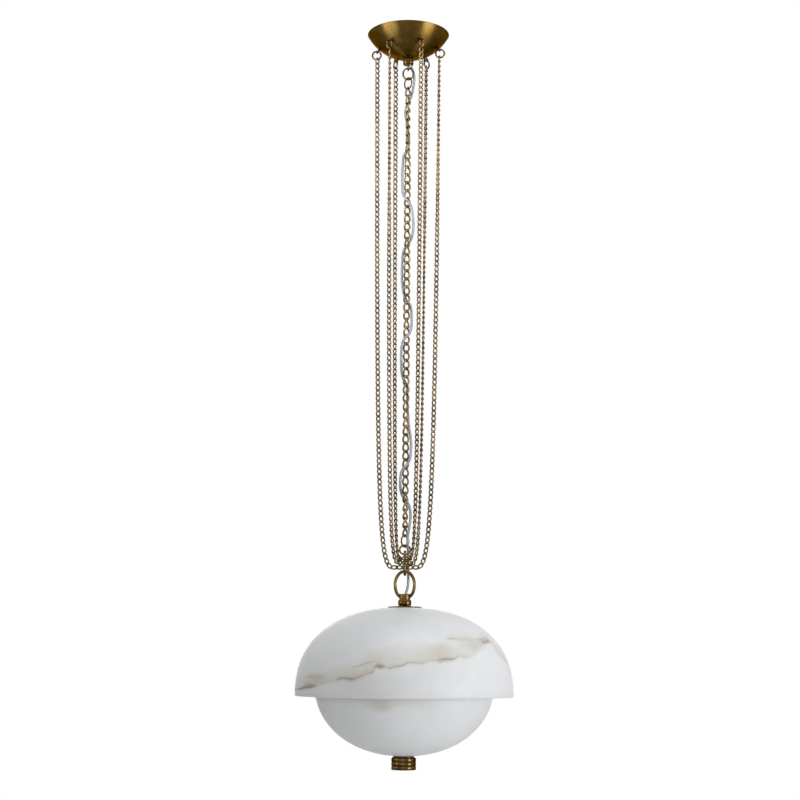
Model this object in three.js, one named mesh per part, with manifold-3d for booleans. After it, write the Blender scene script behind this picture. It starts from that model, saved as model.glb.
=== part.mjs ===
// Alabaster bowl pendant: a stone dome over a stone bowl, hung on a curb chain from a brass canopy,
// with three swagged chains looped from the canopy through the carrier link and back.
// Millimetres, +Z up. The origin is on the ceiling, on the lamp's axis. +Y points away from the viewer.
import * as THREE from "three";
import { mergeVertices } from "three/addons/utils/BufferGeometryUtils.js";
import Module from "manifold-3d";

// Shared clearances and mesh fineness
const GAP = 0.3;
const OVERRUN = 4;
const MERGE = 1e-4;
const ROUND_SIDES = 16;
const WIDE_SIDES = 32;
const BORE_SIDES = 8;
const WIRE_SIDES = 6;
const RING_STEPS = 20;

// Ceiling bracket, its screws and the hollow threaded nipple
const BRACKET = { length: 104, width: 19, thick: 2, slotWidth: 4.6, slotLength: 14, slotPitch: 70 };
const SCREW = { shank: 3.8, head: 7.6, headThick: 2.6 };
const NIPPLE = { outer: 10, bore: 7.6, top: 0.4, bottom: 49.5 };
const NUT = { across: 17, thick: 5 };

// Canopy: a spun spherical cap
const CANOPY = { rim: 79, depth: 47, wall: 1.6, steps: 6 };

// Collar and the plugged loop below it
const COLLAR = { outer: 20.4, top: 47.3, sleeve: 4.7, bottom: 60.2, wall: 1.6, edge: 1.2 };
const PLUG = { thick: 2 };
const CANOPY_LOOP = { wire: 3.2, radius: 5.9, leg: 5.1, cordHole: 6.8, cordX: 3.9, cordY: 2.1, steps: 10 };

// Screw eyes round the canopy and the rings they carry
const EYE = { count: 6, firstDeg: -6, ring: 3.7, wire: 2.6, stand: 5.4, place: 56.2, shank: 3.2, steps: 12 };
const EYE_NUT = { across: 6.4, thick: 2.2, stand: 0.9 };
const JUMP = { radius: 8.35, wire: 3.3, steps: 14 };

// Rings above and below the main chain
const HANGER_RING = { halfWidth: 9.9, halfHeight: 11.45, wire: 3.5 };
const TURNED_RING = { halfWidth: 9.6, halfHeight: 11.2, wire: 3, turnDeg: 45 };
const COLLECTOR = { halfWidth: 10, halfHeight: 8.6, wire: 3.3 };
const CARRIER = { halfWidth: 9.25, halfHeight: 20.8, wire: 5.5, steps: 22 };

// Main curb chain: its links, and how they are shared between three runs
const LINK = { wire: 3, halfWidth: 4.9, twistDeg: 55, bite: 0.2, cornerShare: 0.8, steps: 8, sides: 4 };
const LINK_COUNT = 55;
const RUNS = ["main_chain_upper", "main_chain_middle", "main_chain_lower"];
const MAIN_CHAIN_REACH = 867.5;

// Swagged side chains: a flat band of the size of their links
const SWAG = { width: 8.1, thick: 4.4, curve: 6.6, flat: 22.8, sides: 6 };
const SWAG_STEPS = { flatSteps: 5, curveShare: 0.5, nudgeShare: 0.01 };
const SWAGS = [
  { name: "swag_chain_a", turnDeg: -6 },
  { name: "swag_chain_b", turnDeg: 54 },
  { name: "swag_chain_c", turnDeg: -66 },
];

// Supply cord, woven along the main chain. Its route is set out along a chain of the stated reach
const CORD = { thick: 5, sides: 8, routeReach: 867.5 };
const CORD_ROUTE = [
  [0, 0, -1], [0, 0, -20], [0, 0, -43], [0.6, 0.35, -49.5], [2.2, 1.2, -55], [4.0, 2.2, -59.4],
  [6.3, 3.6, -64], [8.7, 4.7, -69], [10.9, 5.4, -76], [11.7, 5.6, -84], [11.4, 6.0, -95],
  [9.6, 6.6, -108], [6.6, 7.2, -122], [0.5, 7.6, -135], [-5.0, 7.2, -152], [-2.0, 7.2, -176],
  [2.6, 7.2, -205], [0, 7.2, -230], [-6.9, 5.8, -240], [-9.6, 1.0, -262], [-9.8, -1.0, -300],
  [-7.2, -5.6, -325], [0, -7.2, -335], [7.2, -5.6, -345], [11.0, -1.0, -366], [11.6, 1.0, -390],
  [7.0, 5.8, -409], [0, 7.2, -419], [-6.6, 6.2, -430], [-9.4, 4.6, -465], [-8.8, 5.0, -497],
  [-5.4, 6.6, -516], [0, 7.2, -527], [6.9, 5.6, -537], [9.8, 0.0, -563], [7.2, -5.6, -590],
  [0, -7.2, -600], [-7.2, -5.6, -610], [-9.6, 0.0, -642], [-6.9, 5.8, -675], [0, 7.2, -688],
  [2.8, 7.2, -730], [5.4, 6.8, -765], [9.9, 2.4, -796], [9.6, -2.0, -818], [7.0, -5.8, -835],
  [0, -7.2, -845], [-7.2, -5.6, -855], [-9.8, 0.0, -878], [-6.9, 5.8, -897], [0, 7.2, -907],
  [7.1, 5.6, -918], [9.8, 0.5, -938], [7.6, -5.2, -960], [5.0, -6.6, -975], [4.6, -6.6, -985],
  [4.7, -5.8, -991], [5.0, -3.5, -996.5], [5.4, 0.2, -1000.5], [6.0, 4.4, -1004.5], [6.4, 7.2, -1010],
  [6.1, 8.6, -1018], [5.9, 8.8, -1028], [6.0, 8.6, -1038], [6.4, 7.4, -1048], [6.4, 5.0, -1057],
  [5.7, 2.9, -1066], [4.3, 1.5, -1074], [2.2, 0.6, -1081], [1.0, 0.2, -1088], [0.4, 0, -1095],
  [0, 0, -1103], [0, 0, -1120], [0, 0, -1150], [0, 0, -1184],
];

// Egg-shaped loop on its boss, neck and brass cap over the dome
const TOP_LOOP = { wire: 5.7, halfWidth: 17.8, widest: 24.65, height: 48.15, footShare: 0.7, steps: 28, sides: 8 };
const BOSS = { outer: 20.7, tall: 9.3, cordHole: 9.6 };
const NECK = { outer: 24.8, tall: 12.25, waist: 20.7, waistTall: 1, bulge: 1.4, beadSteps: 6 };
const CAP = { outer: 64, thick: 1.6, edge: 0.5 };
const CAP_GASKET = { outer: 58, thick: 0.5 };

// Alabaster dome and bowl
const DOME = { outer: 400, tall: 161.3, wall: 9, curveShare: 2.33, steps: 8 };
const BOWL = { inset: 26, tall: 132.8, wall: 9, curveShare: 2.13, steps: 8, rimDrop: 135.5 };

// Under the dome: plate, nut, hollow stem, lamp hub, three holders and the rod to the finial
const PLATE = { outer: 50, thick: 3 };
const STEM = { outer: 10, bore: 7.6 };
const HUB = { outer: 36, tall: 30, wall: 3, drop: 83.9 };
const HOLDER = { count: 3, firstDeg: 90, outer: 26, long: 34, edge: 2.4, bore: 17.4, floor: 6 };
const BULB = { globe: 45, cap: 14, capLong: 24, neck: 8, steps: 7, sides: 12 };
const ROD = { outer: 10, past: 9 };

// Below the bowl: felt ring, brass washer and the beaded finial
const FELT = { outer: 38, thick: 0.6 };
const FINIAL_WASHER = { outer: 42, thick: 1.2 };
const FINIAL = { tall: 21.6, outer: 45.4, beads: 3, beadSteps: 4, grooveShare: 0.955, foot: 36, sides: 24 };

const wasm = await Module();
wasm.setup();

const deg = THREE.MathUtils.degToRad;

// A closed geometry as a solid that can be joined and cut
function toSolid(geometry) {
  const bare = geometry.index ? geometry.toNonIndexed() : geometry.clone();
  bare.deleteAttribute("normal");
  bare.deleteAttribute("uv");
  const merged = mergeVertices(bare, MERGE);
  return new wasm.Manifold(
    new wasm.Mesh({
      numProp: 3,
      vertProperties: new Float32Array(merged.attributes.position.array),
      triVerts: new Uint32Array(merged.index.array),
    }),
  );
}

// A solid back as a geometry
function toGeometry(solid) {
  const mesh = solid.getMesh();
  const count = mesh.numProp;
  const places = new Float32Array(mesh.numVert * 3);
  for (let i = 0; i < mesh.numVert; i++) {
    places.set(mesh.vertProperties.subarray(i * count, i * count + 3), i * 3);
  }
  const geometry = new THREE.BufferGeometry();
  geometry.setAttribute("position", new THREE.BufferAttribute(places, 3));
  geometry.setIndex(new THREE.BufferAttribute(new Uint32Array(mesh.triVerts), 1));
  return geometry;
}

function cut(body, ...tools) {
  return toGeometry(tools.reduce((solid, tool) => solid.subtract(toSolid(tool)), toSolid(body)));
}

function join(...geometries) {
  const solids = geometries.map(toSolid);
  return toGeometry(solids.slice(1).reduce((whole, solid) => whole.add(solid), solids[0]));
}

// A turned piece about Z from a closed outline of [radius, z] points, in either sense
function turned(outline, sides = ROUND_SIDES) {
  const points = outline.map(([r, z]) => new THREE.Vector2(r, z));
  const area = points.reduce((sum, p, i) => sum + p.cross(points[(i + 1) % points.length]), 0);
  if (area < 0) points.reverse();
  const closed = [...points, points[0].clone()];
  const onAxis = points.filter((p) => p.x === 0);
  if (onAxis.length > 1) {
    // The outline starts and ends on the axis, so the stretch along the axis is left out
    const start = points.findIndex((p, i) => p.x === 0 && points[(i + 1) % points.length].x !== 0);
    const open = points.map((p, i) => points[(start + i) % points.length]);
    const geometry = new THREE.LatheGeometry(open, sides);
    return geometry.rotateX(Math.PI / 2);
  }
  return new THREE.LatheGeometry(closed, sides).rotateX(Math.PI / 2);
}

// An upright cylinder and a tube, from their diameters and heights
function rod(diameter, low, high, sides = ROUND_SIDES) {
  const geometry = new THREE.CylinderGeometry(diameter / 2, diameter / 2, high - low, sides);
  return geometry.rotateX(Math.PI / 2).translate(0, 0, (low + high) / 2);
}

function pipe(outer, bore, low, high, sides = ROUND_SIDES) {
  return turned([[bore / 2, low], [outer / 2, low], [outer / 2, high], [bore / 2, high]], sides);
}

// A drill whose flats clear a round piece of the given diameter
function drill(diameter, low, high) {
  return rod(diameter / Math.cos(Math.PI / BORE_SIDES), low - OVERRUN, high + OVERRUN, BORE_SIDES);
}

function hexNut(across, bore, low, high) {
  const corners = across / Math.cos(Math.PI / 6);
  return cut(rod(corners, low, high, 6), drill(bore, low, high));
}

// Turns a piece made along Z so that +Z points along the direction, and moves it to the place
function aim(geometry, direction, place) {
  const turn = new THREE.Quaternion().setFromUnitVectors(new THREE.Vector3(0, 0, 1), direction);
  return geometry.applyQuaternion(turn).translate(place.x, place.y, place.z);
}

// A closed wire through the points of a loop about a centre, with a round section
function wireLoop(points, diameter, centre, sides = WIRE_SIDES) {
  const rings = points.map((point, i) => {
    const before = points[(i + points.length - 1) % points.length];
    const after = points[(i + 1) % points.length];
    const along = after.clone().sub(before).normalize();
    const out = point.clone().sub(centre);
    out.addScaledVector(along, -out.dot(along)).normalize();
    const side = along.clone().cross(out);
    return sectionRing(point, out, side, diameter / 2, diameter / 2, sides);
  });
  return skin([...rings, rings[0]], false);
}

// The corners of a section with the two half sizes
function sectionRing(point, wide, side, halfWide, halfSide, sides) {
  return Array.from({ length: sides }, (_, k) => {
    const angle = (k / sides) * 2 * Math.PI;
    return point
      .clone()
      .addScaledVector(wide, halfWide * Math.cos(angle))
      .addScaledVector(side, halfSide * Math.sin(angle));
  });
}

// Skins rings of corners into one closed surface, with flat ends where it is open
function skin(rings, capped) {
  const corners = [];
  const put = (...points) => points.forEach((p) => corners.push(p.x, p.y, p.z));
  for (let i = 0; i + 1 < rings.length; i++) {
    rings[i].forEach((a, k) => {
      const next = (k + 1) % rings[i].length;
      put(a, rings[i][next], rings[i + 1][next]);
      put(a, rings[i + 1][next], rings[i + 1][k]);
    });
  }
  if (capped) {
    const first = rings[0];
    const last = rings[rings.length - 1];
    for (let k = 1; k + 1 < first.length; k++) {
      put(first[0], first[k + 1], first[k]);
      put(last[0], last[k], last[k + 1]);
    }
  }
  const geometry = new THREE.BufferGeometry();
  geometry.setAttribute("position", new THREE.Float32BufferAttribute(corners, 3));
  return geometry;
}

// An upright oval ring in a plane turned about Z from the XZ plane
function ovalRing({ halfWidth, halfHeight, wire }, turn, centreZ) {
  const centre = new THREE.Vector3(0, 0, centreZ);
  const points = Array.from({ length: RING_STEPS }, (_, i) => {
    const angle = (i / RING_STEPS) * 2 * Math.PI;
    const across = halfWidth * Math.cos(angle);
    return new THREE.Vector3(
      across * Math.cos(turn),
      across * Math.sin(turn),
      centreZ + halfHeight * Math.sin(angle),
    );
  });
  return wireLoop(points, wire, centre);
}

// A long link in the YZ plane with straight sides and round ends
function longLink({ halfWidth, halfHeight, wire, steps }, centreZ) {
  const points = Array.from({ length: steps }, (_, i) => {
    const angle = ((i + 0.5) / steps) * 2 * Math.PI;
    const end = Math.sign(Math.sin(angle)) * (halfHeight - halfWidth);
    return new THREE.Vector3(0, halfWidth * Math.cos(angle), centreZ + end + halfWidth * Math.sin(angle));
  });
  return wireLoop(points, wire, new THREE.Vector3(0, 0, centreZ));
}

// Heights down the hanging line, each ring resting in the one above it
const nippleLow = -NIPPLE.bottom;
const plugLow = -COLLAR.bottom;
const plugHigh = plugLow + PLUG.thick;
const loopCentreZ = plugLow - CANOPY_LOOP.leg;
const loopLowWire = loopCentreZ - CANOPY_LOOP.radius;
const seat = (wireA, wireB) => (wireA + wireB) / 2 + GAP;
const hangerTop = loopLowWire + seat(CANOPY_LOOP.wire, HANGER_RING.wire);
const hangerZ = hangerTop - HANGER_RING.halfHeight;
const hangerLow = hangerZ - HANGER_RING.halfHeight;
const topRingZ = hangerLow + seat(HANGER_RING.wire, TURNED_RING.wire) - TURNED_RING.halfHeight;
const topRingLow = topRingZ - TURNED_RING.halfHeight;
const chainHigh = topRingLow + seat(TURNED_RING.wire, LINK.wire);
const chainLow = chainHigh - MAIN_CHAIN_REACH - LINK.wire;
const linkPitch = MAIN_CHAIN_REACH / LINK_COUNT;
const linkHalf = (linkPitch + LINK.wire - LINK.bite) / 2;
const endRingZ = chainLow + seat(LINK.wire, TURNED_RING.wire) - TURNED_RING.halfHeight;
const endRingLow = endRingZ - TURNED_RING.halfHeight;
const collectorZ = endRingLow + seat(TURNED_RING.wire, COLLECTOR.wire) - COLLECTOR.halfHeight;
const collectorLow = collectorZ - COLLECTOR.halfHeight;
const carrierZ = collectorLow + seat(COLLECTOR.wire, CARRIER.wire) - CARRIER.halfHeight;
const carrierLow = carrierZ - CARRIER.halfHeight;
const topLoopHigh = carrierLow + seat(CARRIER.wire, TOP_LOOP.wire);
const topLoopLow = topLoopHigh - TOP_LOOP.height;
const neckHigh = topLoopLow - TOP_LOOP.wire / 2;
const neckLow = neckHigh - NECK.tall;
const capLow = neckLow - GAP - CAP.thick;
const capGasketLow = capLow - GAP - CAP_GASKET.thick;
const domeHigh = capGasketLow - GAP;
const domeRim = domeHigh - DOME.tall;
const plateHigh = domeHigh - DOME.wall - 4 * GAP;
const plateLow = plateHigh - PLATE.thick;
const hubHigh = domeHigh - HUB.drop;
const hubLow = hubHigh - HUB.tall;
const bowlOuter = DOME.outer - 2 * (DOME.wall + BOWL.inset);
const bowlRim = domeHigh - BOWL.rimDrop;
const bowlLow = bowlRim - BOWL.tall;
const feltLow = bowlLow - GAP - FELT.thick;
const finialWasherLow = feltLow - GAP - FINIAL_WASHER.thick;
const finialHigh = finialWasherLow - GAP;
const finialLow = finialHigh - FINIAL.tall;

// Canopy sphere and the places of the eyes on it
const sphereRadius = (CANOPY.rim ** 2 + CANOPY.depth ** 2) / (2 * CANOPY.depth);
const sphereZ = sphereRadius - CANOPY.depth;
const surfaceZ = (r) => sphereZ - Math.sqrt(sphereRadius ** 2 - r ** 2);
const eyeAzimuths = Array.from({ length: EYE.count }, (_, i) => deg(EYE.firstDeg + (360 * i) / EYE.count));
const eyeNormal = (azimuth) => {
  const drop = surfaceZ(EYE.place) - sphereZ;
  const normal = new THREE.Vector3(EYE.place * Math.cos(azimuth), EYE.place * Math.sin(azimuth), drop);
  return normal.divideScalar(sphereRadius);
};
const onSphere = (azimuth, stand) =>
  eyeNormal(azimuth)
    .multiplyScalar(sphereRadius + stand)
    .add(new THREE.Vector3(0, 0, sphereZ));

// The jump ring hangs on the outermost wire of its eye
const eyeFar = onSphere(0, EYE.stand + EYE.ring);
const jumpTop = eyeFar.z + seat(EYE.wire, JUMP.wire);
const jumpZ = jumpTop - JUMP.radius;
const swagTop = jumpZ - JUMP.radius - JUMP.wire / 2 - GAP;

const brass = { color: 0x8a7048, roughness: 0.35, metalness: 0.9 };
const darkBrass = { color: 0x6b5232, roughness: 0.4, metalness: 0.9 };
const steel = { color: 0x9a9a96, roughness: 0.45, metalness: 0.9 };
const alabaster = { color: 0xe9e4da, roughness: 0.35, metalness: 0 };
const clearCord = { color: 0xb9b9b4, roughness: 0.3, metalness: 0 };
const felt = { color: 0x3a3833, roughness: 0.95, metalness: 0 };
const porcelain = { color: 0xf1efe9, roughness: 0.3, metalness: 0 };
const opalGlass = { color: 0xf8f6f0, roughness: 0.2, metalness: 0 };

const pendant = new THREE.Group();

function add(name, geometry, finish) {
  const mesh = new THREE.Mesh(geometry, new THREE.MeshStandardMaterial(finish));
  mesh.name = name;
  pendant.add(mesh);
}

// A flat bar with a hole for the nipple and two slots for the screws to the ceiling box
function ceilingBracket() {
  const bar = new THREE.BoxGeometry(BRACKET.length, BRACKET.width, BRACKET.thick);
  bar.translate(0, 0, -BRACKET.thick / 2);
  const hole = drill(NIPPLE.outer + 2 * GAP, -BRACKET.thick, 0);
  const slots = [-1, 1].map((side) => {
    const slot = new THREE.BoxGeometry(BRACKET.slotLength, BRACKET.slotWidth, BRACKET.thick + 2 * OVERRUN);
    return slot.translate((side * BRACKET.slotPitch) / 2, 0, -BRACKET.thick / 2);
  });
  return cut(bar, hole, ...slots);
}

function bracketScrew(side) {
  const headHigh = -BRACKET.thick - GAP;
  const shank = rod(SCREW.shank, headHigh - SCREW.headThick / 2, -GAP, BORE_SIDES);
  const head = rod(SCREW.head, headHigh - SCREW.headThick, headHigh, BORE_SIDES);
  return join(shank, head).translate((side * BRACKET.slotPitch) / 2, 0, 0);
}

// The spun shell, with a hole for the nipple at its crown and one for each screw eye
function canopyShell() {
  const steps = CANOPY.steps;
  const inner = sphereRadius - CANOPY.wall;
  const hole = NIPPLE.outer / 2 + GAP;
  const arc = (radius) => {
    const rimAngle = Math.acos(sphereZ / radius);
    const holeAngle = Math.asin(hole / radius);
    return Array.from({ length: steps + 1 }, (_, i) => {
      const angle = holeAngle + ((rimAngle - holeAngle) * i) / steps;
      return [radius * Math.sin(angle), i === steps ? 0 : sphereZ - radius * Math.cos(angle)];
    });
  };
  const shell = turned([...arc(sphereRadius), ...arc(inner).reverse()], WIDE_SIDES);
  const holes = eyeAzimuths.map((azimuth) => {
    const hole = drill(EYE.shank + 2 * GAP, 0, 0);
    return aim(hole, eyeNormal(azimuth), onSphere(azimuth, -CANOPY.wall / 2));
  });
  return cut(shell, ...holes);
}

// The collar: a sleeve on the nipple over a cup that takes the plug of the loop
function canopyCollar() {
  const outer = COLLAR.outer / 2;
  const inner = outer - COLLAR.wall;
  const sleeveLow = -COLLAR.top - COLLAR.sleeve;
  const bore = NIPPLE.outer / 2 + GAP;
  return turned([
    [bore, -COLLAR.top],
    [outer - COLLAR.edge, -COLLAR.top],
    [outer, -COLLAR.top - COLLAR.edge],
    [outer, plugLow],
    [inner, plugLow],
    [inner, sleeveLow],
    [bore, sleeveLow],
  ]);
}

// A plug with a hole beside the middle for the cord, and a U-shaped loop that crosses the hanger ring
function canopyLoop() {
  const plug = rod(COLLAR.outer - 2 * COLLAR.wall - 2 * GAP, plugLow, plugHigh);
  const hole = drill(CANOPY_LOOP.cordHole, plugLow, plugHigh);
  hole.translate(CANOPY_LOOP.cordX, CANOPY_LOOP.cordY, 0);
  const steps = CANOPY_LOOP.steps;
  const bend = Array.from({ length: steps + 1 }, (_, i) => {
    const angle = Math.PI + (Math.PI * i) / steps;
    return new THREE.Vector3(
      0,
      CANOPY_LOOP.radius * Math.cos(angle),
      loopCentreZ + CANOPY_LOOP.radius * Math.sin(angle),
    );
  });
  const legHigh = (plugLow + plugHigh) / 2;
  const path = [bend[0].clone().setZ(legHigh), ...bend, bend[steps].clone().setZ(legHigh)];
  const sideways = new THREE.Vector3(1, 0, 0);
  const rings = path.map((point, i) => {
    const along = path[Math.min(i + 1, path.length - 1)].clone().sub(path[Math.max(i - 1, 0)]).normalize();
    const half = CANOPY_LOOP.wire / 2;
    return sectionRing(point, sideways.clone().cross(along), sideways, half, half, WIRE_SIDES);
  });
  return join(cut(plug, hole), facingOut(skin(rings, true)));
}

// Turns the faces of a closed geometry outwards
function facingOut(geometry) {
  const places = geometry.attributes.position.array;
  let volume = 0;
  for (let i = 0; i < places.length; i += 9) {
    const [a, b, c] = [0, 3, 6].map((k) => new THREE.Vector3(...places.subarray(i + k, i + k + 3)));
    volume += a.dot(b.cross(c));
  }
  if (volume < 0) {
    for (let i = 0; i < places.length; i += 9) {
      const second = places.slice(i + 3, i + 6);
      places.copyWithin(i + 3, i + 6, i + 9);
      places.set(second, i + 6);
    }
  }
  return geometry;
}

// A ring on a threaded shank, square to the canopy's surface, its hole facing along the lamp's radius
function hookEye(azimuth) {
  const nutReach = CANOPY.wall + EYE_NUT.stand + EYE_NUT.thick + EYE.wire / 2;
  const eye = new THREE.TorusGeometry(EYE.ring, EYE.wire / 2, WIRE_SIDES, EYE.steps).rotateY(Math.PI / 2);
  const shank = rod(EYE.shank, EYE.ring, EYE.stand + nutReach, BORE_SIDES);
  const whole = join(eye, shank);
  const lean = Math.atan2(eyeNormal(0).x, -eyeNormal(0).z);
  whole.rotateY(-lean);
  whole.rotateZ(azimuth);
  const place = onSphere(azimuth, EYE.stand);
  return whole.translate(place.x, place.y, place.z);
}

function hookNut(azimuth) {
  const nut = hexNut(EYE_NUT.across, EYE.shank + 2 * GAP, -EYE_NUT.thick / 2, EYE_NUT.thick / 2);
  return aim(nut, eyeNormal(azimuth), onSphere(azimuth, -CANOPY.wall - EYE_NUT.stand - EYE_NUT.thick / 2));
}

function jumpRing(azimuth) {
  const ring = new THREE.TorusGeometry(JUMP.radius, JUMP.wire / 2, WIRE_SIDES, JUMP.steps);
  return ring.rotateX(Math.PI / 2).translate(eyeFar.x, 0, jumpZ).rotateZ(azimuth);
}

// One curb link: an oval of wire twisted along the chain so that it seats in its neighbours lying flat
function curbLink(centreZ) {
  const points = Array.from({ length: LINK.steps }, (_, i) => {
    const angle = (i / LINK.steps) * 2 * Math.PI;
    const twist = deg(LINK.twistDeg) * Math.sin(angle);
    const turn = Math.cos(angle);
    const across = LINK.halfWidth * Math.sign(turn) * Math.abs(turn) ** LINK.cornerShare;
    return new THREE.Vector3(
      across * Math.cos(twist),
      across * Math.sin(twist),
      centreZ + linkHalf * Math.sin(angle),
    );
  });
  return wireLoop(points, LINK.wire, new THREE.Vector3(0, 0, centreZ), LINK.sides);
}

// The links of one of the three runs. They bite into each other within a run, and runs meet slack by a gap
function mainChainRun(index) {
  const first = Math.round((LINK_COUNT * index) / RUNS.length);
  const last = Math.round((LINK_COUNT * (index + 1)) / RUNS.length);
  const junction = LINK.bite + GAP;
  const spare = chainHigh - chainLow - 2 * linkHalf + (RUNS.length - 1) * junction;
  const step = spare / (LINK_COUNT - 1);
  const links = [];
  for (let i = first; i < last; i++) {
    links.push(curbLink(chainHigh - linkHalf - i * step + index * junction));
  }
  return join(...links);
}

// One swagged chain, from a jump ring down to the carrier link, through it and up to the opposite jump ring
function swagChain(turnDeg, bottomZ) {
  const reach = Math.acosh(1 + (swagTop - bottomZ) / SWAG.curve);
  const count = Math.ceil(reach / SWAG_STEPS.curveShare);
  const radii = [];
  for (let i = 1; i <= SWAG_STEPS.flatSteps; i++) radii.push((SWAG.flat * i) / SWAG_STEPS.flatSteps);
  for (let i = 1; i <= count; i++) radii.push(SWAG.flat + (SWAG.curve * reach * i) / count);
  const plan = (r) => {
    const share = Math.min(r / SWAG.flat, 1);
    const angle = deg(turnDeg) * share * share * (3 - 2 * share);
    return new THREE.Vector2(r * Math.cos(angle), r * Math.sin(angle));
  };
  const height = (r) =>
    r <= SWAG.flat ? bottomZ : bottomZ + SWAG.curve * (Math.cosh((r - SWAG.flat) / SWAG.curve) - 1);
  const small = SWAG.thick * SWAG_STEPS.nudgeShare;
  const stations = [...radii.map((r) => -r).reverse(), 0, ...radii];
  const rings = stations.map((s) => {
    const r = Math.abs(s);
    const sign = s < 0 ? -1 : 1;
    const at = plan(r).multiplyScalar(sign);
    const heading = plan(r + small).sub(plan(Math.max(r - small, 0))).normalize();
    const slope = s === 0 ? 0 : sign * Math.sinh(Math.max(r - SWAG.flat, 0) / SWAG.curve);
    const along = new THREE.Vector3(heading.x, heading.y, slope).normalize();
    const side = new THREE.Vector3(-heading.y, heading.x, 0);
    const point = new THREE.Vector3(at.x, at.y, height(r));
    return sectionRing(point, along.clone().cross(side), side, SWAG.width / 2, SWAG.thick / 2, SWAG.sides);
  });
  return facingOut(skin(rings, true));
}

// The height of a point of the cord's route, stretched beside the chain and moved with what hangs below it
function cordHeight(z) {
  const share = THREE.MathUtils.clamp((chainHigh - z) / (CORD.routeReach + LINK.wire), 0, 1);
  return z - share * (MAIN_CHAIN_REACH - CORD.routeReach);
}

// A round cord with one ring of corners at each point of its route, its section carried along without twist
function supplyCord() {
  const places = CORD_ROUTE.map(([x, y, z]) => new THREE.Vector3(x, y, cordHeight(z)));
  const curve = new THREE.CatmullRomCurve3(places, false, "centripetal");
  const last = CORD_ROUTE.length - 1;
  const wide = new THREE.Vector3(1, 0, 0);
  const rings = CORD_ROUTE.map((_, i) => {
    const along = curve.getTangent(i / last);
    wide.addScaledVector(along, -wide.dot(along)).normalize();
    const side = along.clone().cross(wide);
    return sectionRing(curve.getPoint(i / last), wide, side, CORD.thick / 2, CORD.thick / 2, CORD.sides);
  });
  return facingOut(skin(rings, true));
}

// The egg-shaped loop on its boss, which is bored for the cord
function topLoop() {
  const middleZ = topLoopHigh - TOP_LOOP.widest;
  const below = TOP_LOOP.height - TOP_LOOP.widest;
  const points = Array.from({ length: TOP_LOOP.steps }, (_, i) => {
    const angle = (i / TOP_LOOP.steps) * 2 * Math.PI;
    const rise = Math.sin(angle);
    const turn = Math.cos(angle);
    const across = rise > 0 ? turn : Math.sign(turn) * Math.abs(turn) ** TOP_LOOP.footShare;
    return new THREE.Vector3(
      TOP_LOOP.halfWidth * across,
      0,
      middleZ + rise * (rise > 0 ? TOP_LOOP.widest : below),
    );
  });
  const ring = wireLoop(points, TOP_LOOP.wire, new THREE.Vector3(0, 0, middleZ), TOP_LOOP.sides);
  const boss = rod(BOSS.outer, neckHigh - GAP, neckHigh + BOSS.tall);
  const hole = drill(BOSS.cordHole, neckHigh, neckHigh + BOSS.tall);
  return cut(join(ring, boss), hole);
}

// The turned neck: a waist as wide as the boss over one rounded bead, bored for the stem
function neckCoupling() {
  const outer = NECK.outer / 2;
  const bore = STEM.outer / 2 + GAP;
  const top = neckHigh - 2 * GAP;
  const beadHigh = top - NECK.waistTall;
  const halfTall = (beadHigh - neckLow) / 2;
  const bead = Array.from({ length: NECK.beadSteps }, (_, i) => {
    const angle = ((i + 0.5) / NECK.beadSteps) * Math.PI;
    return [outer - NECK.bulge * (1 - Math.sin(angle)), beadHigh - halfTall * (1 - Math.cos(angle))];
  });
  return turned([
    [bore, top],
    [NECK.waist / 2, top],
    [NECK.waist / 2, beadHigh],
    ...bead,
    [outer - NECK.bulge, neckLow],
    [bore, neckLow],
  ]);
}

function topCap() {
  const bore = STEM.outer / 2 + GAP;
  return turned([
    [bore, capLow],
    [CAP.outer / 2, capLow],
    [CAP.outer / 2, capLow + CAP.thick - CAP.edge],
    [CAP.outer / 2 - CAP.edge, capLow + CAP.thick],
    [bore, capLow + CAP.thick],
  ], WIDE_SIDES);
}

// Points on a rounded shade profile, from its crown hole out to its rim
function shadeArc(radius, tall, curve, hole, steps) {
  const power = 2 / curve;
  return Array.from({ length: steps + 1 }, (_, i) => {
    const angle = ((Math.PI / 2) * i) / steps;
    const r = i === 0 ? hole : radius * Math.sin(angle) ** power;
    const rise = tall * Math.max(1 - (r / radius) ** curve, 0) ** (1 / curve);
    return [r, i === steps ? 0 : rise];
  });
}

// A hollow stone shade with its crown at the far end from its rim
function shade({ outer, tall, wall, curveShare, steps }, hole) {
  const skinOut = shadeArc(outer / 2, tall, curveShare, hole, steps);
  const skinIn = shadeArc(outer / 2 - wall, tall - wall, curveShare, hole, steps);
  return [...skinOut, ...skinIn.reverse()];
}

function domeShade() {
  const outline = shade(DOME, STEM.outer / 2 + 2 * GAP);
  return turned(outline.map(([r, z]) => [r, domeRim + z]), WIDE_SIDES);
}

function bowlShade() {
  const outline = shade({ ...BOWL, outer: bowlOuter }, ROD.outer / 2 + 2 * GAP);
  return turned(outline.map(([r, z]) => [r, bowlRim - z]), WIDE_SIDES);
}

// The hollow stem from the loop's boss to the lamp hub
function stem() {
  return pipe(STEM.outer, STEM.bore, hubHigh + GAP, neckHigh - 3 * GAP, BORE_SIDES);
}

// The lamp hub: a hollow turned body that carries the holders and joins stem and rod
function lampHub() {
  const outer = HUB.outer / 2;
  return turned([
    [0, hubLow],
    [outer - HUB.wall, hubLow],
    [outer, hubLow + HUB.wall],
    [outer, hubHigh - HUB.wall],
    [outer - HUB.wall, hubHigh],
    [STEM.bore / 2, hubHigh],
    [STEM.bore / 2, hubHigh - HUB.wall],
    [outer - HUB.wall, hubHigh - HUB.wall],
    [outer - HUB.wall, hubLow + HUB.wall],
    [0, hubLow + HUB.wall],
  ]);
}

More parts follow.
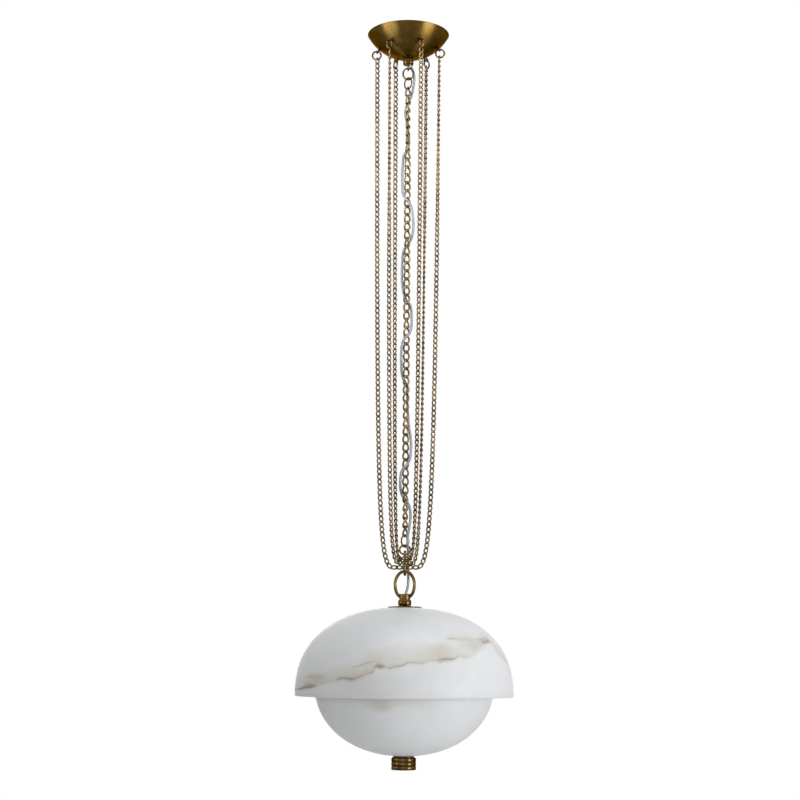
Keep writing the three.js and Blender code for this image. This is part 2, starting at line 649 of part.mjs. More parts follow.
const holderAzimuths = Array.from({ length: HOLDER.count }, (_, i) =>
  deg(HOLDER.firstDeg + (360 * i) / HOLDER.count),
);
const holderZ = (hubHigh + hubLow) / 2;
const holderInner = HUB.outer / 2 + GAP;

// A lampholder lying along +X, a cup with a floor at the hub
function lampHolder() {
  const outer = HOLDER.outer / 2;
  const cup = turned([
    [0, 0],
    [outer - HOLDER.edge, 0],
    [outer, HOLDER.edge],
    [outer, HOLDER.long],
    [HOLDER.bore / 2, HOLDER.long],
    [HOLDER.bore / 2, HOLDER.floor],
    [0, HOLDER.floor],
  ]);
  return cup.rotateY(Math.PI / 2).translate(holderInner, 0, holderZ);
}

// A golf-ball lamp lying along +X, its cap inside the holder
function bulb() {
  const radius = BULB.globe / 2;
  const cap = BULB.cap / 2;
  const start = HOLDER.floor + GAP;
  const ballStart = start + BULB.capLong + BULB.neck;
  const middle = ballStart + Math.sqrt(radius ** 2 - cap ** 2);
  const first = Math.asin(cap / radius);
  const globe = Array.from({ length: BULB.steps + 1 }, (_, i) => {
    const angle = first + ((Math.PI - first) * i) / BULB.steps;
    return [i === BULB.steps ? 0 : radius * Math.sin(angle), middle - radius * Math.cos(angle)];
  });
  const capOutline = [[0, start], [cap / 2, start], [cap, start + cap / 2], [cap, start + BULB.capLong]];
  const whole = turned([...capOutline, ...globe], BULB.sides);
  return whole.rotateY(Math.PI / 2).translate(holderInner, 0, holderZ);
}

function bowlRod() {
  const rodHigh = hubLow - GAP;
  return rod(ROD.outer, finialHigh - ROD.past, rodHigh, BORE_SIDES);
}

// A straight stack of equal beads, narrowed under the last, bored for the end of the rod
function finial() {
  const radius = FINIAL.outer / 2;
  const groove = radius * FINIAL.grooveShare;
  const tall = FINIAL.tall / FINIAL.beads;
  const outline = [];
  for (let i = 0; i < FINIAL.beads; i++) {
    for (let k = 0; k < FINIAL.beadSteps; k++) {
      const angle = (k / FINIAL.beadSteps) * Math.PI;
      const reach = groove + (radius - groove) * Math.sin(angle);
      outline.push([reach, finialHigh - i * tall - (tall / 2) * (1 - Math.cos(angle))]);
    }
  }
  outline.push([FINIAL.foot / 2, finialLow], [0, finialLow]);
  const bore = ROD.outer / 2 + GAP;
  const floor = finialHigh - ROD.past - GAP;
  return turned([[0, floor], [bore, floor], [bore, finialHigh], ...outline], FINIAL.sides);
}

// A hexagon nut below the given height, on a threaded rod or nipple
function lockNut(threaded, high) {
  return hexNut(NUT.across, threaded + 2 * GAP, high - NUT.thick, high);
}

// A flat round washer of the given size, with its lower face at the height
function washer({ outer, thick }, bore, low) {
  return pipe(outer, bore, low, low + thick);
}

add("ceiling_bracket", ceilingBracket(), steel);
add("bracket_screw_left", bracketScrew(-1), steel);
add("bracket_screw_right", bracketScrew(1), steel);
add("bracket_nut", lockNut(NIPPLE.outer, -BRACKET.thick - GAP), steel);
add("canopy_nipple", pipe(NIPPLE.outer, NIPPLE.bore, nippleLow, -NIPPLE.top), steel);
add("canopy_shell", canopyShell(), darkBrass);
add("canopy_collar", canopyCollar(), darkBrass);
add("canopy_loop", canopyLoop(), darkBrass);
eyeAzimuths.forEach((azimuth, i) => {
  add(`hook_eye_${i + 1}`, hookEye(azimuth), darkBrass);
  add(`hook_nut_${i + 1}`, hookNut(azimuth), steel);
  add(`jump_ring_${i + 1}`, jumpRing(azimuth), darkBrass);
});
add("hanger_ring", ovalRing(HANGER_RING, 0, hangerZ), brass);
add("chain_top_ring", ovalRing(TURNED_RING, -deg(TURNED_RING.turnDeg), topRingZ), brass);
RUNS.forEach((name, i) => add(name, mainChainRun(i), brass));
add("chain_end_ring", ovalRing(TURNED_RING, deg(TURNED_RING.turnDeg), endRingZ), brass);
add("collector_ring", ovalRing(COLLECTOR, 0, collectorZ), brass);
add("carrier_link", longLink(CARRIER, carrierZ), brass);
SWAGS.forEach(({ name, turnDeg }, i) => {
  const lowest = topLoopHigh + TOP_LOOP.wire / 2 + GAP + SWAG.width / 2;
  add(name, swagChain(turnDeg, lowest + i * (SWAG.width + GAP)), brass);
});
add("supply_cord", supplyCord(), clearCord);
add("top_loop", topLoop(), brass);
add("neck_coupling", neckCoupling(), darkBrass);
add("top_cap", topCap(), brass);
add("cap_gasket", washer(CAP_GASKET, STEM.outer + 4 * GAP, capGasketLow), felt);
add("dome_shade", domeShade(), alabaster);
add("dome_plate", washer(PLATE, STEM.outer + 2 * GAP, plateLow), steel);
add("dome_nut", lockNut(STEM.outer, plateLow - GAP), steel);
add("stem_tube", stem(), steel);
add("lamp_hub", lampHub(), steel);
holderAzimuths.forEach((azimuth, i) => {
  add(`lamp_holder_${i + 1}`, lampHolder().rotateZ(azimuth), porcelain);
  add(`bulb_${i + 1}`, bulb().rotateZ(azimuth), opalGlass);
});
add("bowl_rod", bowlRod(), steel);
add("bowl_shade", bowlShade(), alabaster);
add("bowl_felt", washer(FELT, ROD.outer + 4 * GAP, feltLow), felt);
add("finial_washer", washer(FINIAL_WASHER, ROD.outer + 2 * GAP, finialWasherLow), brass);
add("finial", finial(), brass);

export default pendant;
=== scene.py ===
"""Alabaster bowl pendant: the looks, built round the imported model. Metres, +Z up, the ceiling at zero."""
from math import acos, acosh, asin, asinh, atan, ceil, copysign, cos, cosh, pi, radians, sin, sinh, sqrt

import bpy
from mathutils import Matrix, Vector


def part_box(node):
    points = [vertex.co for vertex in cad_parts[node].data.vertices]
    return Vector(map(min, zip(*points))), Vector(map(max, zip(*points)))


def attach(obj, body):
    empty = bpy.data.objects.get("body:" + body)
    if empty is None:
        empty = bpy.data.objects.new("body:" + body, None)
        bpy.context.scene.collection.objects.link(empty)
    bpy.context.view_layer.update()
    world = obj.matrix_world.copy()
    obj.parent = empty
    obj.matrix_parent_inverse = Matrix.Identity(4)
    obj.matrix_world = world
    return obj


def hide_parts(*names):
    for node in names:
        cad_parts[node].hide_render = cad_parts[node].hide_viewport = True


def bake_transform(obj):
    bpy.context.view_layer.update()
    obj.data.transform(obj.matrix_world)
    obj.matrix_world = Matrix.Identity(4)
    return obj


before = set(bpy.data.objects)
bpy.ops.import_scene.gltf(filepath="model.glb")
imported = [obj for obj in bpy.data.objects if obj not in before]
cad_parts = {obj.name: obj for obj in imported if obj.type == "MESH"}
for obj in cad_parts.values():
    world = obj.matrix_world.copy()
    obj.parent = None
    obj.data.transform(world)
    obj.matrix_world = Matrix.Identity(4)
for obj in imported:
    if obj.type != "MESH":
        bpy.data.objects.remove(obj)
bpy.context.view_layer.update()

scene = bpy.context.scene
scene.view_settings.view_transform = "Standard"

# The photograph's frame, and the camera fitted to it
PHOTO_SIDE_PX = 800
FOCAL_PX = 1631.5
AXIS_OFFSET_PX = 6.1
SENSOR_MM = 36
CAMERA_BACK = 3.030
CAMERA_HEIGHT = -1.1978
TILT_UP = radians(8.967)
ROLL = radians(0.418)

# Canopy and what hangs from it
CANOPY = {"rim": 0.079, "depth": 0.047, "wall": 0.0016, "hole": 0.0053, "edge": 0.0006}
SPHERE = (CANOPY["rim"] ** 2 + CANOPY["depth"] ** 2) / (2 * CANOPY["depth"])
SPHERE_Z = SPHERE - CANOPY["depth"]
COLLAR = {"outer": 0.0204, "wall": 0.0016, "sleeve": 0.0047, "bore": 0.0053, "edge": 0.0012}
PLUG = {"outer": 0.0166, "thick": 0.002}
CANOPY_LOOP = {"wire": 0.0032, "radius": 0.0059, "leg": 0.0051}
EYE = {"count": 6, "first_deg": -6, "ring": 0.0037, "wire": 0.0026, "stand": 0.0054, "place": 0.0562}
SHANK = {"wire": 0.0032, "reach": 0.006, "foot_share": 0.95}
JUMP = {"radius": 0.00835, "wire": 0.0033}
GAP = 0.0003

# Rings: half width, half height, wire, the turn of their plane from the XZ plane, and body
RINGS = {
    "hanger_ring": (0.0099, 0.01145, 0.0034, 0, "hanger_ring"),
    "chain_top_ring": (0.0096, 0.0112, 0.0028, -45, "chain"),
    "chain_end_ring": (0.0096, 0.0112, 0.003, 45, "chain"),
    "collector_ring": (0.010, 0.0086, 0.0033, 0, "chain"),
}
CARRIER = {"half_width": 0.00925, "half_height": 0.0208, "wire": 0.0055}
TOP_LOOP = {"half_width": 0.0178, "widest": 0.02465, "height": 0.04815, "foot_share": 0.7, "wire": 0.0057}
BOSS = {"outer": 0.0207, "bore": 0.0096, "tall": 0.0093, "edge": 0.001}

# Curb chains: half width of a link's centre line, wire, twist and corner share
MAIN_LINK = {"half_width": 0.0050, "wire": 0.0036, "twist_deg": 55, "corner": 0.8, "count": 55}
SIDE_LINK = {"half_width": 0.0032, "wire": 0.0028, "twist_deg": 52, "corner": 0.8, "pitch": 0.0099}
SWAG = {"curve": 0.0066, "flat": 0.0228, "width": 0.0081}
SWAG_TURNS = {"swag_chain_a": -6, "swag_chain_b": 54, "swag_chain_c": -66}

# Which way each strand's flat side faces down its length, as (height, degrees) read off the photograph
SIDE_FACINGS = {
    ("swag_chain_a", 1): [
        (-0.05, 80), (-0.2, 75), (-0.33, 50), (-0.45, 20), (-0.6, 10), (-0.9, 0), (-0.98, -6),
    ],
    ("swag_chain_a", -1): [(-0.05, 10), (-0.9, 5), (-0.98, -6)],
    ("swag_chain_b", 1): [(-0.05, 60), (-0.33, 62), (-0.45, 85), (-0.93, 75), (-0.98, 54)],
    ("swag_chain_b", -1): [(-0.05, 85), (-0.3, 75), (-0.4, 40), (-0.5, 25), (-0.9, 30), (-0.98, 54)],
    ("swag_chain_c", 1): [(-0.05, 0), (-0.33, -5), (-0.45, -28), (-0.9, -40), (-0.98, -66)],
    ("swag_chain_c", -1): [(-0.05, 5), (-0.33, -8), (-0.45, -34), (-0.9, -45), (-0.98, -66)],
}
MAIN_FACINGS = [
    (-0.106, 30), (-0.15, 70), (-0.21, 80), (-0.26, 30), (-0.3, 12), (-0.39, 10), (-0.42, 55),
    (-0.44, 15), (-0.55, 0), (-0.575, 50), (-0.6, 5), (-0.7, 15), (-0.76, 50), (-0.8, 10), (-0.87, 20),
    (-0.92, 60), (-0.98, 55),
]
# From level to steep, as the share of the way that a link points up
STEEP_SHARES = (0.6, 1.0)

# Bends of the hanging chains, as heights; each chain is cut into its top, second and low pieces at the lower
# ends of the first two
TOP_BEND = (-0.056, -0.16)
SECOND_BEND = (-0.16, -0.38)
LOW_BEND = (-0.83, -1.004)

# The supply cord's route, the same points as the solid's
CORD_RADIUS = 0.0025
CORD_STEP = 0.0025
CORD_ROUTE_MM = [
    (0, 0, -1), (0, 0, -20), (0, 0, -43), (0.6, 0.35, -49.5), (2.2, 1.2, -55), (4.0, 2.2, -59.4),
    (6.3, 3.6, -64), (8.7, 4.7, -69), (10.9, 5.4, -76), (11.7, 5.6, -84), (11.4, 6.0, -95),
    (9.6, 6.6, -108), (6.6, 7.2, -122), (0.5, 7.6, -135), (-5.0, 7.2, -152), (-2.0, 7.2, -176),
    (2.6, 7.2, -205), (0, 7.2, -230), (-6.9, 5.8, -240), (-9.6, 1.0, -262), (-9.8, -1.0, -300),
    (-7.2, -5.6, -325), (0, -7.2, -335), (7.2, -5.6, -345), (11.0, -1.0, -366), (11.6, 1.0, -390),
    (7.0, 5.8, -409), (0, 7.2, -419), (-6.6, 6.2, -430), (-9.4, 4.6, -465), (-8.8, 5.0, -497),
    (-5.4, 6.6, -516), (0, 7.2, -527), (6.9, 5.6, -537), (9.8, 0.0, -563), (7.2, -5.6, -590),
    (0, -7.2, -600), (-7.2, -5.6, -610), (-9.6, 0.0, -642), (-6.9, 5.8, -675), (0, 7.2, -688),
    (2.8, 7.2, -730), (5.4, 6.8, -765), (9.9, 2.4, -796), (9.6, -2.0, -818), (7.0, -5.8, -835),
    (0, -7.2, -845), (-7.2, -5.6, -855), (-9.8, 0.0, -878), (-6.9, 5.8, -897), (0, 7.2, -907),
    (7.1, 5.6, -918), (9.8, 0.5, -938), (7.6, -5.2, -960), (5.0, -6.6, -975), (4.6, -6.6, -985),
    (4.7, -5.8, -991), (5.0, -3.5, -996.5), (5.4, 0.2, -1000.5), (6.0, 4.4, -1004.5), (6.4, 7.2, -1010),
    (6.1, 8.6, -1018), (5.9, 8.8, -1028), (6.0, 8.6, -1038), (6.4, 7.4, -1048), (6.4, 5.0, -1057),
    (5.7, 2.9, -1066), (4.3, 1.5, -1074), (2.2, 0.6, -1081), (1.0, 0.2, -1088), (0.4, 0, -1095),
    (0, 0, -1103), (0, 0, -1120), (0, 0, -1150), (0, 0, -1184),
]
MM = 0.001
CORD_CUTS = [
    ("canopy", "hanger_ring", -0.062, -0.082),
    ("hanger_ring", "chain", -0.1, -0.135),
    ("chain", "carrier", -0.985, -1.024),
    ("carrier", "shade", -1.038, -1.068),
]

# Alabaster shades
DOME = {"outer": 0.2, "tall": 0.1613, "wall": 0.009, "power": 2.33, "hole": 0.0056}
BOWL = {"outer": 0.165, "tall": 0.1328, "wall": 0.009, "power": 2.13, "hole": 0.0056}
RIM_EDGE = 0.0012

# The stone's colours, and its patches as (centre, spread, colour, strength): warm clouds in the stone, and
# one of painted shade
STONE = {
    "shadow": (0.80, 0.81, 0.82),
    "body": (0.86, 0.865, 0.875),
    "light": (0.92, 0.92, 0.925),
    "haze": (0.70, 0.675, 0.585),
    "halo": (0.56, 0.50, 0.40),
    "line": (0.33, 0.30, 0.245),
    "knot": (0.25, 0.205, 0.15),
}
STONE_CLOUDS_AND_SHADE = [
    ((0.062, -0.168, -1.1845), (0.024, 0.03, 0.018), (0.68, 0.60, 0.52), 0.6),
    ((0.123, -0.118, -1.174), (0.028, 0.05, 0.016), (0.60, 0.56, 0.51), 0.6),
    # Painted shade: a wide grey patch that darkens the dome's lower left, where the light falls off
    ((-0.060, -0.175, -1.244), (0.085, 0.06, 0.036), (0.68, 0.665, 0.63), 0.45),
    ((-0.158, -0.125, -1.238), (0.030, 0.04, 0.014), (0.62, 0.56, 0.47), 0.5),
    ((-0.082, -0.175, -1.224), (0.030, 0.04, 0.013), (0.68, 0.62, 0.52), 0.45),
    ((0.100, -0.123, -1.163), (0.040, 0.06, 0.006), (0.72, 0.66, 0.53), 0.4),
    ((0.141, -0.092, -1.166), (0.012, 0.04, 0.008), (0.55, 0.49, 0.38), 0.55),
    ((-0.042, -0.154, -1.281), (0.026, 0.04, 0.012), (0.62, 0.56, 0.45), 0.6),
    ((0.02, -0.160, -1.275), (0.07, 0.04, 0.009), (0.76, 0.74, 0.68), 0.4),
    ((-0.0435, -0.187, -1.2135), (0.011, 0.03, 0.0042), (0.30, 0.255, 0.20), 0.85),
    ((-0.168, -0.105, -1.2505), (0.013, 0.04, 0.005), (0.33, 0.27, 0.18), 0.8),
    ((-0.097, -0.171, -1.2348), (0.016, 0.03, 0.0038), (0.40, 0.375, 0.29), 0.65),
    ((0.068, -0.176, -1.2008), (0.010, 0.03, 0.0034), (0.40, 0.345, 0.28), 0.65),
    ((0.145, -0.086, -1.1705), (0.009, 0.03, 0.0042), (0.36, 0.295, 0.21), 0.75),
    ((0.05, 0.17, -1.19), (0.08, 0.08, 0.014), (0.76, 0.72, 0.62), 0.5),
    ((0.03, 0.13, -1.31), (0.05, 0.05, 0.014), (0.76, 0.71, 0.60), 0.4),
]

# Where a patch begins and where it is full, as shares of its spread
PATCH_SHARES = (1.3, 0.1)

# The main vein, a leaning sheet through the dome, and the haze over it down its length:
# x, the vein's height, its strength, the haze's top and the haze's strength
VEIN_REACH = 0.2
VEIN_SPAN = (-1.27, -1.14)
VEIN_LEAN = 0.061
VEIN = [
    (-0.2, -1.26, 0.3, -1.232, 0.7), (-0.1755, -1.2578, 1.0, -1.2297, 0.8),
    (-0.1652, -1.2566, 0.9, -1.23, 0.9), (-0.1455, -1.2532, 0.2, -1.2323, 0.8),
    (-0.1302, -1.2496, 0.15, -1.229, 0.6), (-0.1189, -1.2469, 0.25, -1.2249, 0.5),
    (-0.1103, -1.244, 0.8, -1.22, 0.4), (-0.1003, -1.2455, 0.75, -1.217, 0.4),
    (-0.0879, -1.2458, 0.7, -1.2135, 0.5), (-0.0782, -1.2429, 0.55, -1.212, 0.6),
    (-0.0661, -1.2382, 0.6, -1.199, 0.8), (-0.0576, -1.2353, 0.7, -1.1918, 0.9),
    (-0.0516, -1.2299, 0.9, -1.19, 0.9), (-0.0469, -1.2245, 1.0, -1.189, 0.9),
    (-0.0384, -1.224, 0.95, -1.188, 0.9), (-0.0275, -1.227, 0.6, -1.1865, 0.9),
    (-0.0155, -1.2254, 0.6, -1.1837, 0.9), (-0.0049, -1.2236, 0.65, -1.181, 0.9),
    (0.0074, -1.2182, 0.5, -1.1792, 0.9), (0.0211, -1.2186, 0.5, -1.1795, 0.9),
    (0.0389, -1.2162, 0.35, -1.181, 0.9), (0.0513, -1.2138, 0.35, -1.1849, 0.9),
    (0.0666, -1.2113, 0.9, -1.1677, 0.85), (0.0833, -1.2108, 0.75, -1.1609, 0.7),
    (0.0975, -1.2053, 0.45, -1.164, 0.6), (0.106, -1.2063, 0.3, -1.161, 0.55),
    (0.1231, -1.202, 0.1, -1.1571, 0.6), (0.1351, -1.183, 0.15, -1.155, 0.7),
    (0.1408, -1.1743, 0.7, -1.1545, 0.8), (0.1485, -1.1741, 0.6, -1.1539, 0.8),
    (0.1659, -1.1926, 0.15, -1.15, 0.7), (0.1847, -1.2091, 0.2, -1.15, 0.7),
    (0.19, -1.2252, 0.1, -1.15, 0.5), (0.2, -1.24, 0.0, -1.15, 0.3),
]

# How ragged the vein is, how the patches of cloud and painted shade drift, and how far the haze reaches over
# the vein and under its top
RAGGED = {"scale": 38.0, "reach": 0.007}
DRIFT = {"scale": 14.0, "reach": 0.03}
HAZE = {"front": (0.05, -0.03), "foot": (-0.002, 0.0015), "top": (-0.003, 0.010), "fade": (0.034, 0.004)}
VEIN_WIDTHS = {"halo": 0.0085, "line": 0.0022}
THREAD_WIDTHS = {"halo": 0.0045, "line": 0.0013}

# Fine side veins: x, height and strength
THREADS = [
    [
        (-0.094, -1.2265, 0.0), (-0.078, -1.224, 0.5), (-0.066, -1.2195, 0.45), (-0.052, -1.2165, 0.25),
        (-0.04, -1.215, 0.0),
    ],
    [
        (0.07, -1.174, 0.0), (0.0812, -1.1728, 0.55), (0.0925, -1.1751, 0.35), (0.115, -1.1735, 0.25),
        (0.1398, -1.169, 0.35), (0.15, -1.165, 0.0),
    ],
    [
        (-0.18, -1.24, 0.0), (-0.165, -1.2385, 0.4), (-0.148, -1.24, 0.35), (-0.128, -1.2425, 0.0),
    ],
]

# Turned brass over and under the stone, and the lamps in it
NECK = {"outer": 0.0124, "waist": 0.01035, "waist_tall": 0.001, "bulge": 0.0014, "bore": 0.0053}
CAP = {"dish": 0.0019, "edge": 0.0008}
FINIAL = {
    "radius": 0.0227, "tall": 0.0216, "beads": 3, "groove_share": 0.955,
    "foot": 0.018, "edge": 0.0005, "bore": 0.0053, "deep": 0.0093,
}
HOLDER = {"inner": 0.0183, "outer": 0.013, "long": 0.034, "edge": 0.0024, "bore": 0.0087, "floor": 0.006}
BULB = {"globe": 0.0225, "cap": 0.007, "cap_long": 0.024, "neck": 0.008, "pitch": 0.0028, "thread": 0.0005}
HOLDER_TURNS = (90, 210, 330)

# Sides of round sections, segments of turned pieces, and the creases kept sharp, in degrees
SIDES = {"eye": 12, "jump": 14, "shank": 14, "wire": 16, "foot": 18, "loop": 20, "cord": 20}
SEGMENTS = {"lamp": 48, "small": 64, "neck": 80, "disc": 128, "canopy": 160, "shade": 192}
CREASE = {"bead": 30, "turned": 38, "joined": 50, "cord": 60, "wire": 80}
ON_AXIS = 1e-6

# Grain of the finishes: noise scales to the metre, and the depth of the bump
STONE_GRAIN = {"cloud": 5.5, "fine": 42.0, "patches": 18.0, "breaks": 55.0, "skin": 160.0, "bump": 0.0004}
STONE_GLOW = 0.008
BRASS_GRAIN = {"tone": 55.0, "blotch": 14.0, "bump": 0.0001}
BRASS_TINT = (0.4, 0.36, 0.28, 1.0)
EVEN_BRUSH = (260.0, 260.0, 260.0)
SPUN_BRUSH = (30.0, 30.0, 900.0)
TURNED_BRUSH = (40.0, 40.0, 1500.0)
STEEL_GRAIN = {"tone": 120.0, "skin": 500.0, "bump": 0.0001}
STEEL_COLOURS = ((0.46, 0.46, 0.45), (0.68, 0.68, 0.66))
CORD_GRAIN = {"tone": (300.0, 300.0, 40.0), "skin": 220.0, "bump": 0.0002}
CORD_COLOURS = ((0.36, 0.37, 0.39), (0.49, 0.50, 0.53))
FELT_GRAIN = {"fibres": 900.0, "bump": 0.0003}
FELT_COLOURS = ((0.03, 0.028, 0.026), (0.09, 0.085, 0.08))
GLAZE_GRAIN = {"tone": 30.0, "skin": 90.0, "bump": 0.0002}

# The room: a pale floor, a white surround and soft lamps, as (name, place, aim, size, power, tint)
ROOM_LIGHT = 0.165
ROOM_TINT = (1.0, 0.99, 0.91)
LAMP_TINT = (0.955, 0.972, 1.0)
COOL_TINT = (0.94, 1.05, 1.28)
FLOOR = {"half": 6.0, "drop": 0.8, "tone": 0.8, "glow_share": 0.52}
FLOOR_COLOURS = ((0.86, 0.86, 0.86), (0.9, 0.9, 0.9))
LAMPS = [
    ("key_lamp", (2.5, -1.7, -1.35), (0, 0, -1.0), 1.2, 40, LAMP_TINT),
    ("side_lamp", (-2.8, -1.1, -0.9), (0, 0, -0.8), 0.6, 8, LAMP_TINT),
    ("front_lamp", (-0.5, -3.0, -0.95), (0, 0, -1.25), 1.3, 6, LAMP_TINT),
    ("overhead_lamp", (0.2, -0.8, 1.5), (0, 0, -1.1), 1.8, 38, LAMP_TINT),
    ("back_lamp", (-0.3, 3.2, -1.0), (0, 0, -1.1), 1.4, 16, LAMP_TINT),
    ("canopy_lamp_right", (0.84, -0.41, -0.37), (0.34, -0.16, 0.46), 0.5, 8.2, COOL_TINT),
    ("canopy_lamp_left", (-0.79, -0.50, -0.37), (-0.29, -0.25, 0.46), 0.66, 11.4, COOL_TINT),
]


def smooth(t):
    """An ease from 0 to 1."""
    t = min(max(t, 0.0), 1.0)
    return t * t * (3 - 2 * t)


def low(node):
    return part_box(node)[0][2]


def high(node):
    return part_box(node)[1][2]


def mid(node):
    return (low(node) + high(node)) / 2


def make_object(name, verts, faces, crease_deg=CREASE["turned"]):
    """A mesh object with its faces outwards, smooth but for its sharp edges."""
    mesh = bpy.data.meshes.new(name)
    mesh.from_pydata([tuple(v) for v in verts], [], faces)
    mesh.validate()
    mesh.update()
    obj = bpy.data.objects.new(name, mesh)
    scene.collection.objects.link(obj)
    mesh.shade_smooth()
    mesh.set_sharp_from_angle(angle=radians(crease_deg))
    return obj


def dress(obj, material, body, node):
    """Gives a piece its material, hides the solid that it stands for, and hangs it on the body that it rides
    on, if one is given.
    """
    obj.data.materials.append(material)
    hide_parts(node)
    if body:
        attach(obj, body)


def skin_faces(rings, sides, wrap, first=0):
    """Quads between successive rings of corners, and caps on the ends of an open run."""
    faces = []
    for i in range(rings if wrap else rings - 1):
        a = first + i * sides
        b = first + ((i + 1) % rings) * sides
        for k in range(sides):
            n = (k + 1) % sides
            faces.append((a + k, a + n, b + n, b + k))
    if not wrap:
        faces.append(tuple(first + k for k in reversed(range(sides))))
        faces.append(tuple(first + (rings - 1) * sides + k for k in range(sides)))
    return faces


def wire_rings(points, radius, sides, closed=True, centre=None):
    """Corners of a round section at each point of a wire, carried along without twist."""
    count = len(points)
    corners = []
    out = None
    for i, p in enumerate(points):
        before = points[(i - 1) % count] if closed or i > 0 else p
        after = points[(i + 1) % count] if closed or i + 1 < count else p
        along = (after - before).normalized()
        if centre is not None:
            out = p - centre
        elif out is None:
            out = Vector((1, 0, 0)) if abs(along.x) < 0.9 else Vector((0, 1, 0))
        out = (out - along * out.dot(along)).normalized()
        side = along.cross(out)
        for k in range(sides):
            angle = 2 * pi * k / sides
            corners.append(p + out * (radius * cos(angle)) + side * (radius * sin(angle)))
    return corners


def loop_object(name, points, wire, sides, centre):
    """A closed round wire."""
    corners = wire_rings(points, wire / 2, sides, True, centre)
    return make_object(name, corners, skin_faces(len(points), sides, True), CREASE["wire"])


def join_parts(name, parts, crease_deg=CREASE["turned"]):
    """One object of several closed surfaces, each given as corners and faces."""
    verts = []
    faces = []
    for corners, quads in parts:
        first = len(verts)
        verts.extend(corners)
        faces.extend(tuple(first + k for k in face) for face in quads)
    return make_object(name, verts, faces, crease_deg)


def rounded(outline, radius, steps=4):
    """The closed outline with each corner eased by the radius, and points on the axis left sharp."""
    eased = []
    count = len(outline)
    most = 2.2
    for i, corner in enumerate(outline):
        p = Vector(corner)
        a = Vector(outline[i - 1])
        b = Vector(outline[(i + 1) % count])
        if p.x < ON_AXIS:
            eased.append(tuple(p))
            continue
        to_a = a - p
        to_b = b - p
        start = p + to_a.normalized() * min(radius, to_a.length / most)
        end = p + to_b.normalized() * min(radius, to_b.length / most)
        for k in range(steps + 1):
            t = k / steps
            eased.append(tuple(start * (1 - t) ** 2 + p * (2 * t * (1 - t)) + end * t ** 2))
    return eased


def lathe_part(outline, segments, axis=None):
    """Corners and faces of a closed outline of (radius, height) points, turned about an axis."""
    verts = []
    rows = []
    for r, z in outline:
        if r < ON_AXIS:
            rows.append([len(verts)])
            verts.append(Vector((0, 0, z)))
            continue
        rows.append(list(range(len(verts), len(verts) + segments)))
        for k in range(segments):
            angle = 2 * pi * k / segments
            verts.append(Vector((r * cos(angle), r * sin(angle), z)))
    area = sum(r0 * z1 - r1 * z0 for (r0, z0), (r1, z1) in zip(outline, outline[1:] + outline[:1]))
    faces = []
    for i, row in enumerate(rows):
        following = rows[(i + 1) % len(rows)]
        if len(row) == 1 and len(following) == 1:
            continue
        for k in range(segments):
            n = (k + 1) % segments
            ends = ((row, k), (row, n), (following, n), (following, k))
            face = list(dict.fromkeys(ring[at % len(ring)] for ring, at in ends))
            faces.append(tuple(face if area > 0 else reversed(face)))
    if axis is not None:
        verts = [axis @ v for v in verts]
    return verts, faces


def turned(name, outline, segments, crease_deg=CREASE["turned"]):
    return join_parts(name, [lathe_part(outline, segments)], crease_deg)


def pipe_outline(bore, outer, bottom, top):
    return [(bore, bottom), (outer, bottom), (outer, top), (bore, top)]


# Materials. Each is built of nodes on the object's own coordinates
def new_material(name):
    material = bpy.data.materials.new(name)
    material.use_nodes = True
    return material, material.node_tree, material.node_tree.nodes["Principled BSDF"]


def put(node, values):
    """Sets inputs to plain values, or links them to sockets."""
    for key, value in values.items():
        if isinstance(value, bpy.types.NodeSocket):
            node.id_data.links.new(value, node.inputs[key])
        else:
            node.inputs[key].default_value = value


def add_node(tree, kind, values=None, **settings):
    node = tree.nodes.new("ShaderNode" + kind)
    for key, value in settings.items():
        setattr(node, key, value)
    put(node, values or {})
    return node


def object_place(tree):
    return add_node(tree, "TexCoord").outputs["Object"]


def noise_node(tree, place, scale, detail=4.0, roughness=0.55):
    values = {"Vector": place, "Scale": scale, "Detail": detail, "Roughness": roughness}
    return add_node(tree, "TexNoise", values).outputs["Fac"]


def math_node(tree, operation, a, b=None, clamp=False):
    values = {0: a} if b is None else {0: a, 1: b}
    return add_node(tree, "Math", values, operation=operation, use_clamp=clamp).outputs[0]


def product(tree, a, b):
    return math_node(tree, "MULTIPLY", a, b)


def vector_node(tree, operation, a, b=None, output="Vector"):
    values = {0: a} if b is None else {0: a, 1: b}
    return add_node(tree, "VectorMath", values, operation=operation).outputs[output]


def range_node(tree, value, start, end, low_value=0.0, high_value=1.0):
    """Maps the value from start–end to the low and high values, smoothly."""
    values = {"Value": value, "From Min": start, "From Max": end, "To Min": low_value, "To Max": high_value}
    return add_node(tree, "MapRange", values, interpolation_type="SMOOTHSTEP").outputs["Result"]


def mix_colour(tree, factor, a, b):
    colours = {6: a, 7: b}
    values = {key: (*c, 1.0) if isinstance(c, tuple) else c for key, c in colours.items()}
    return add_node(tree, "Mix", {0: factor, **values}, data_type="RGBA").outputs[2]


def bump(tree, shader, height, distance, strength):
    node = add_node(tree, "Bump", {"Height": height, "Distance": distance, "Strength": strength})
    put(shader, {"Normal": node.outputs["Normal"]})


def stretched(tree, place, scale):
    return vector_node(tree, "MULTIPLY", place, scale)


def warped(tree, place, push):
    """The place pushed about by noise, so that a plane through it wanders as a vein does."""
    values = {"Vector": place, "Scale": push["scale"], "Detail": 5.0, "Roughness": 0.6}
    noise = add_node(tree, "TexNoise", values).outputs["Color"]
    centred = vector_node(tree, "SUBTRACT", noise, (0.5, 0.5, 0.5))
    return vector_node(tree, "ADD", place, stretched(tree, centred, (push["reach"],) * 3))


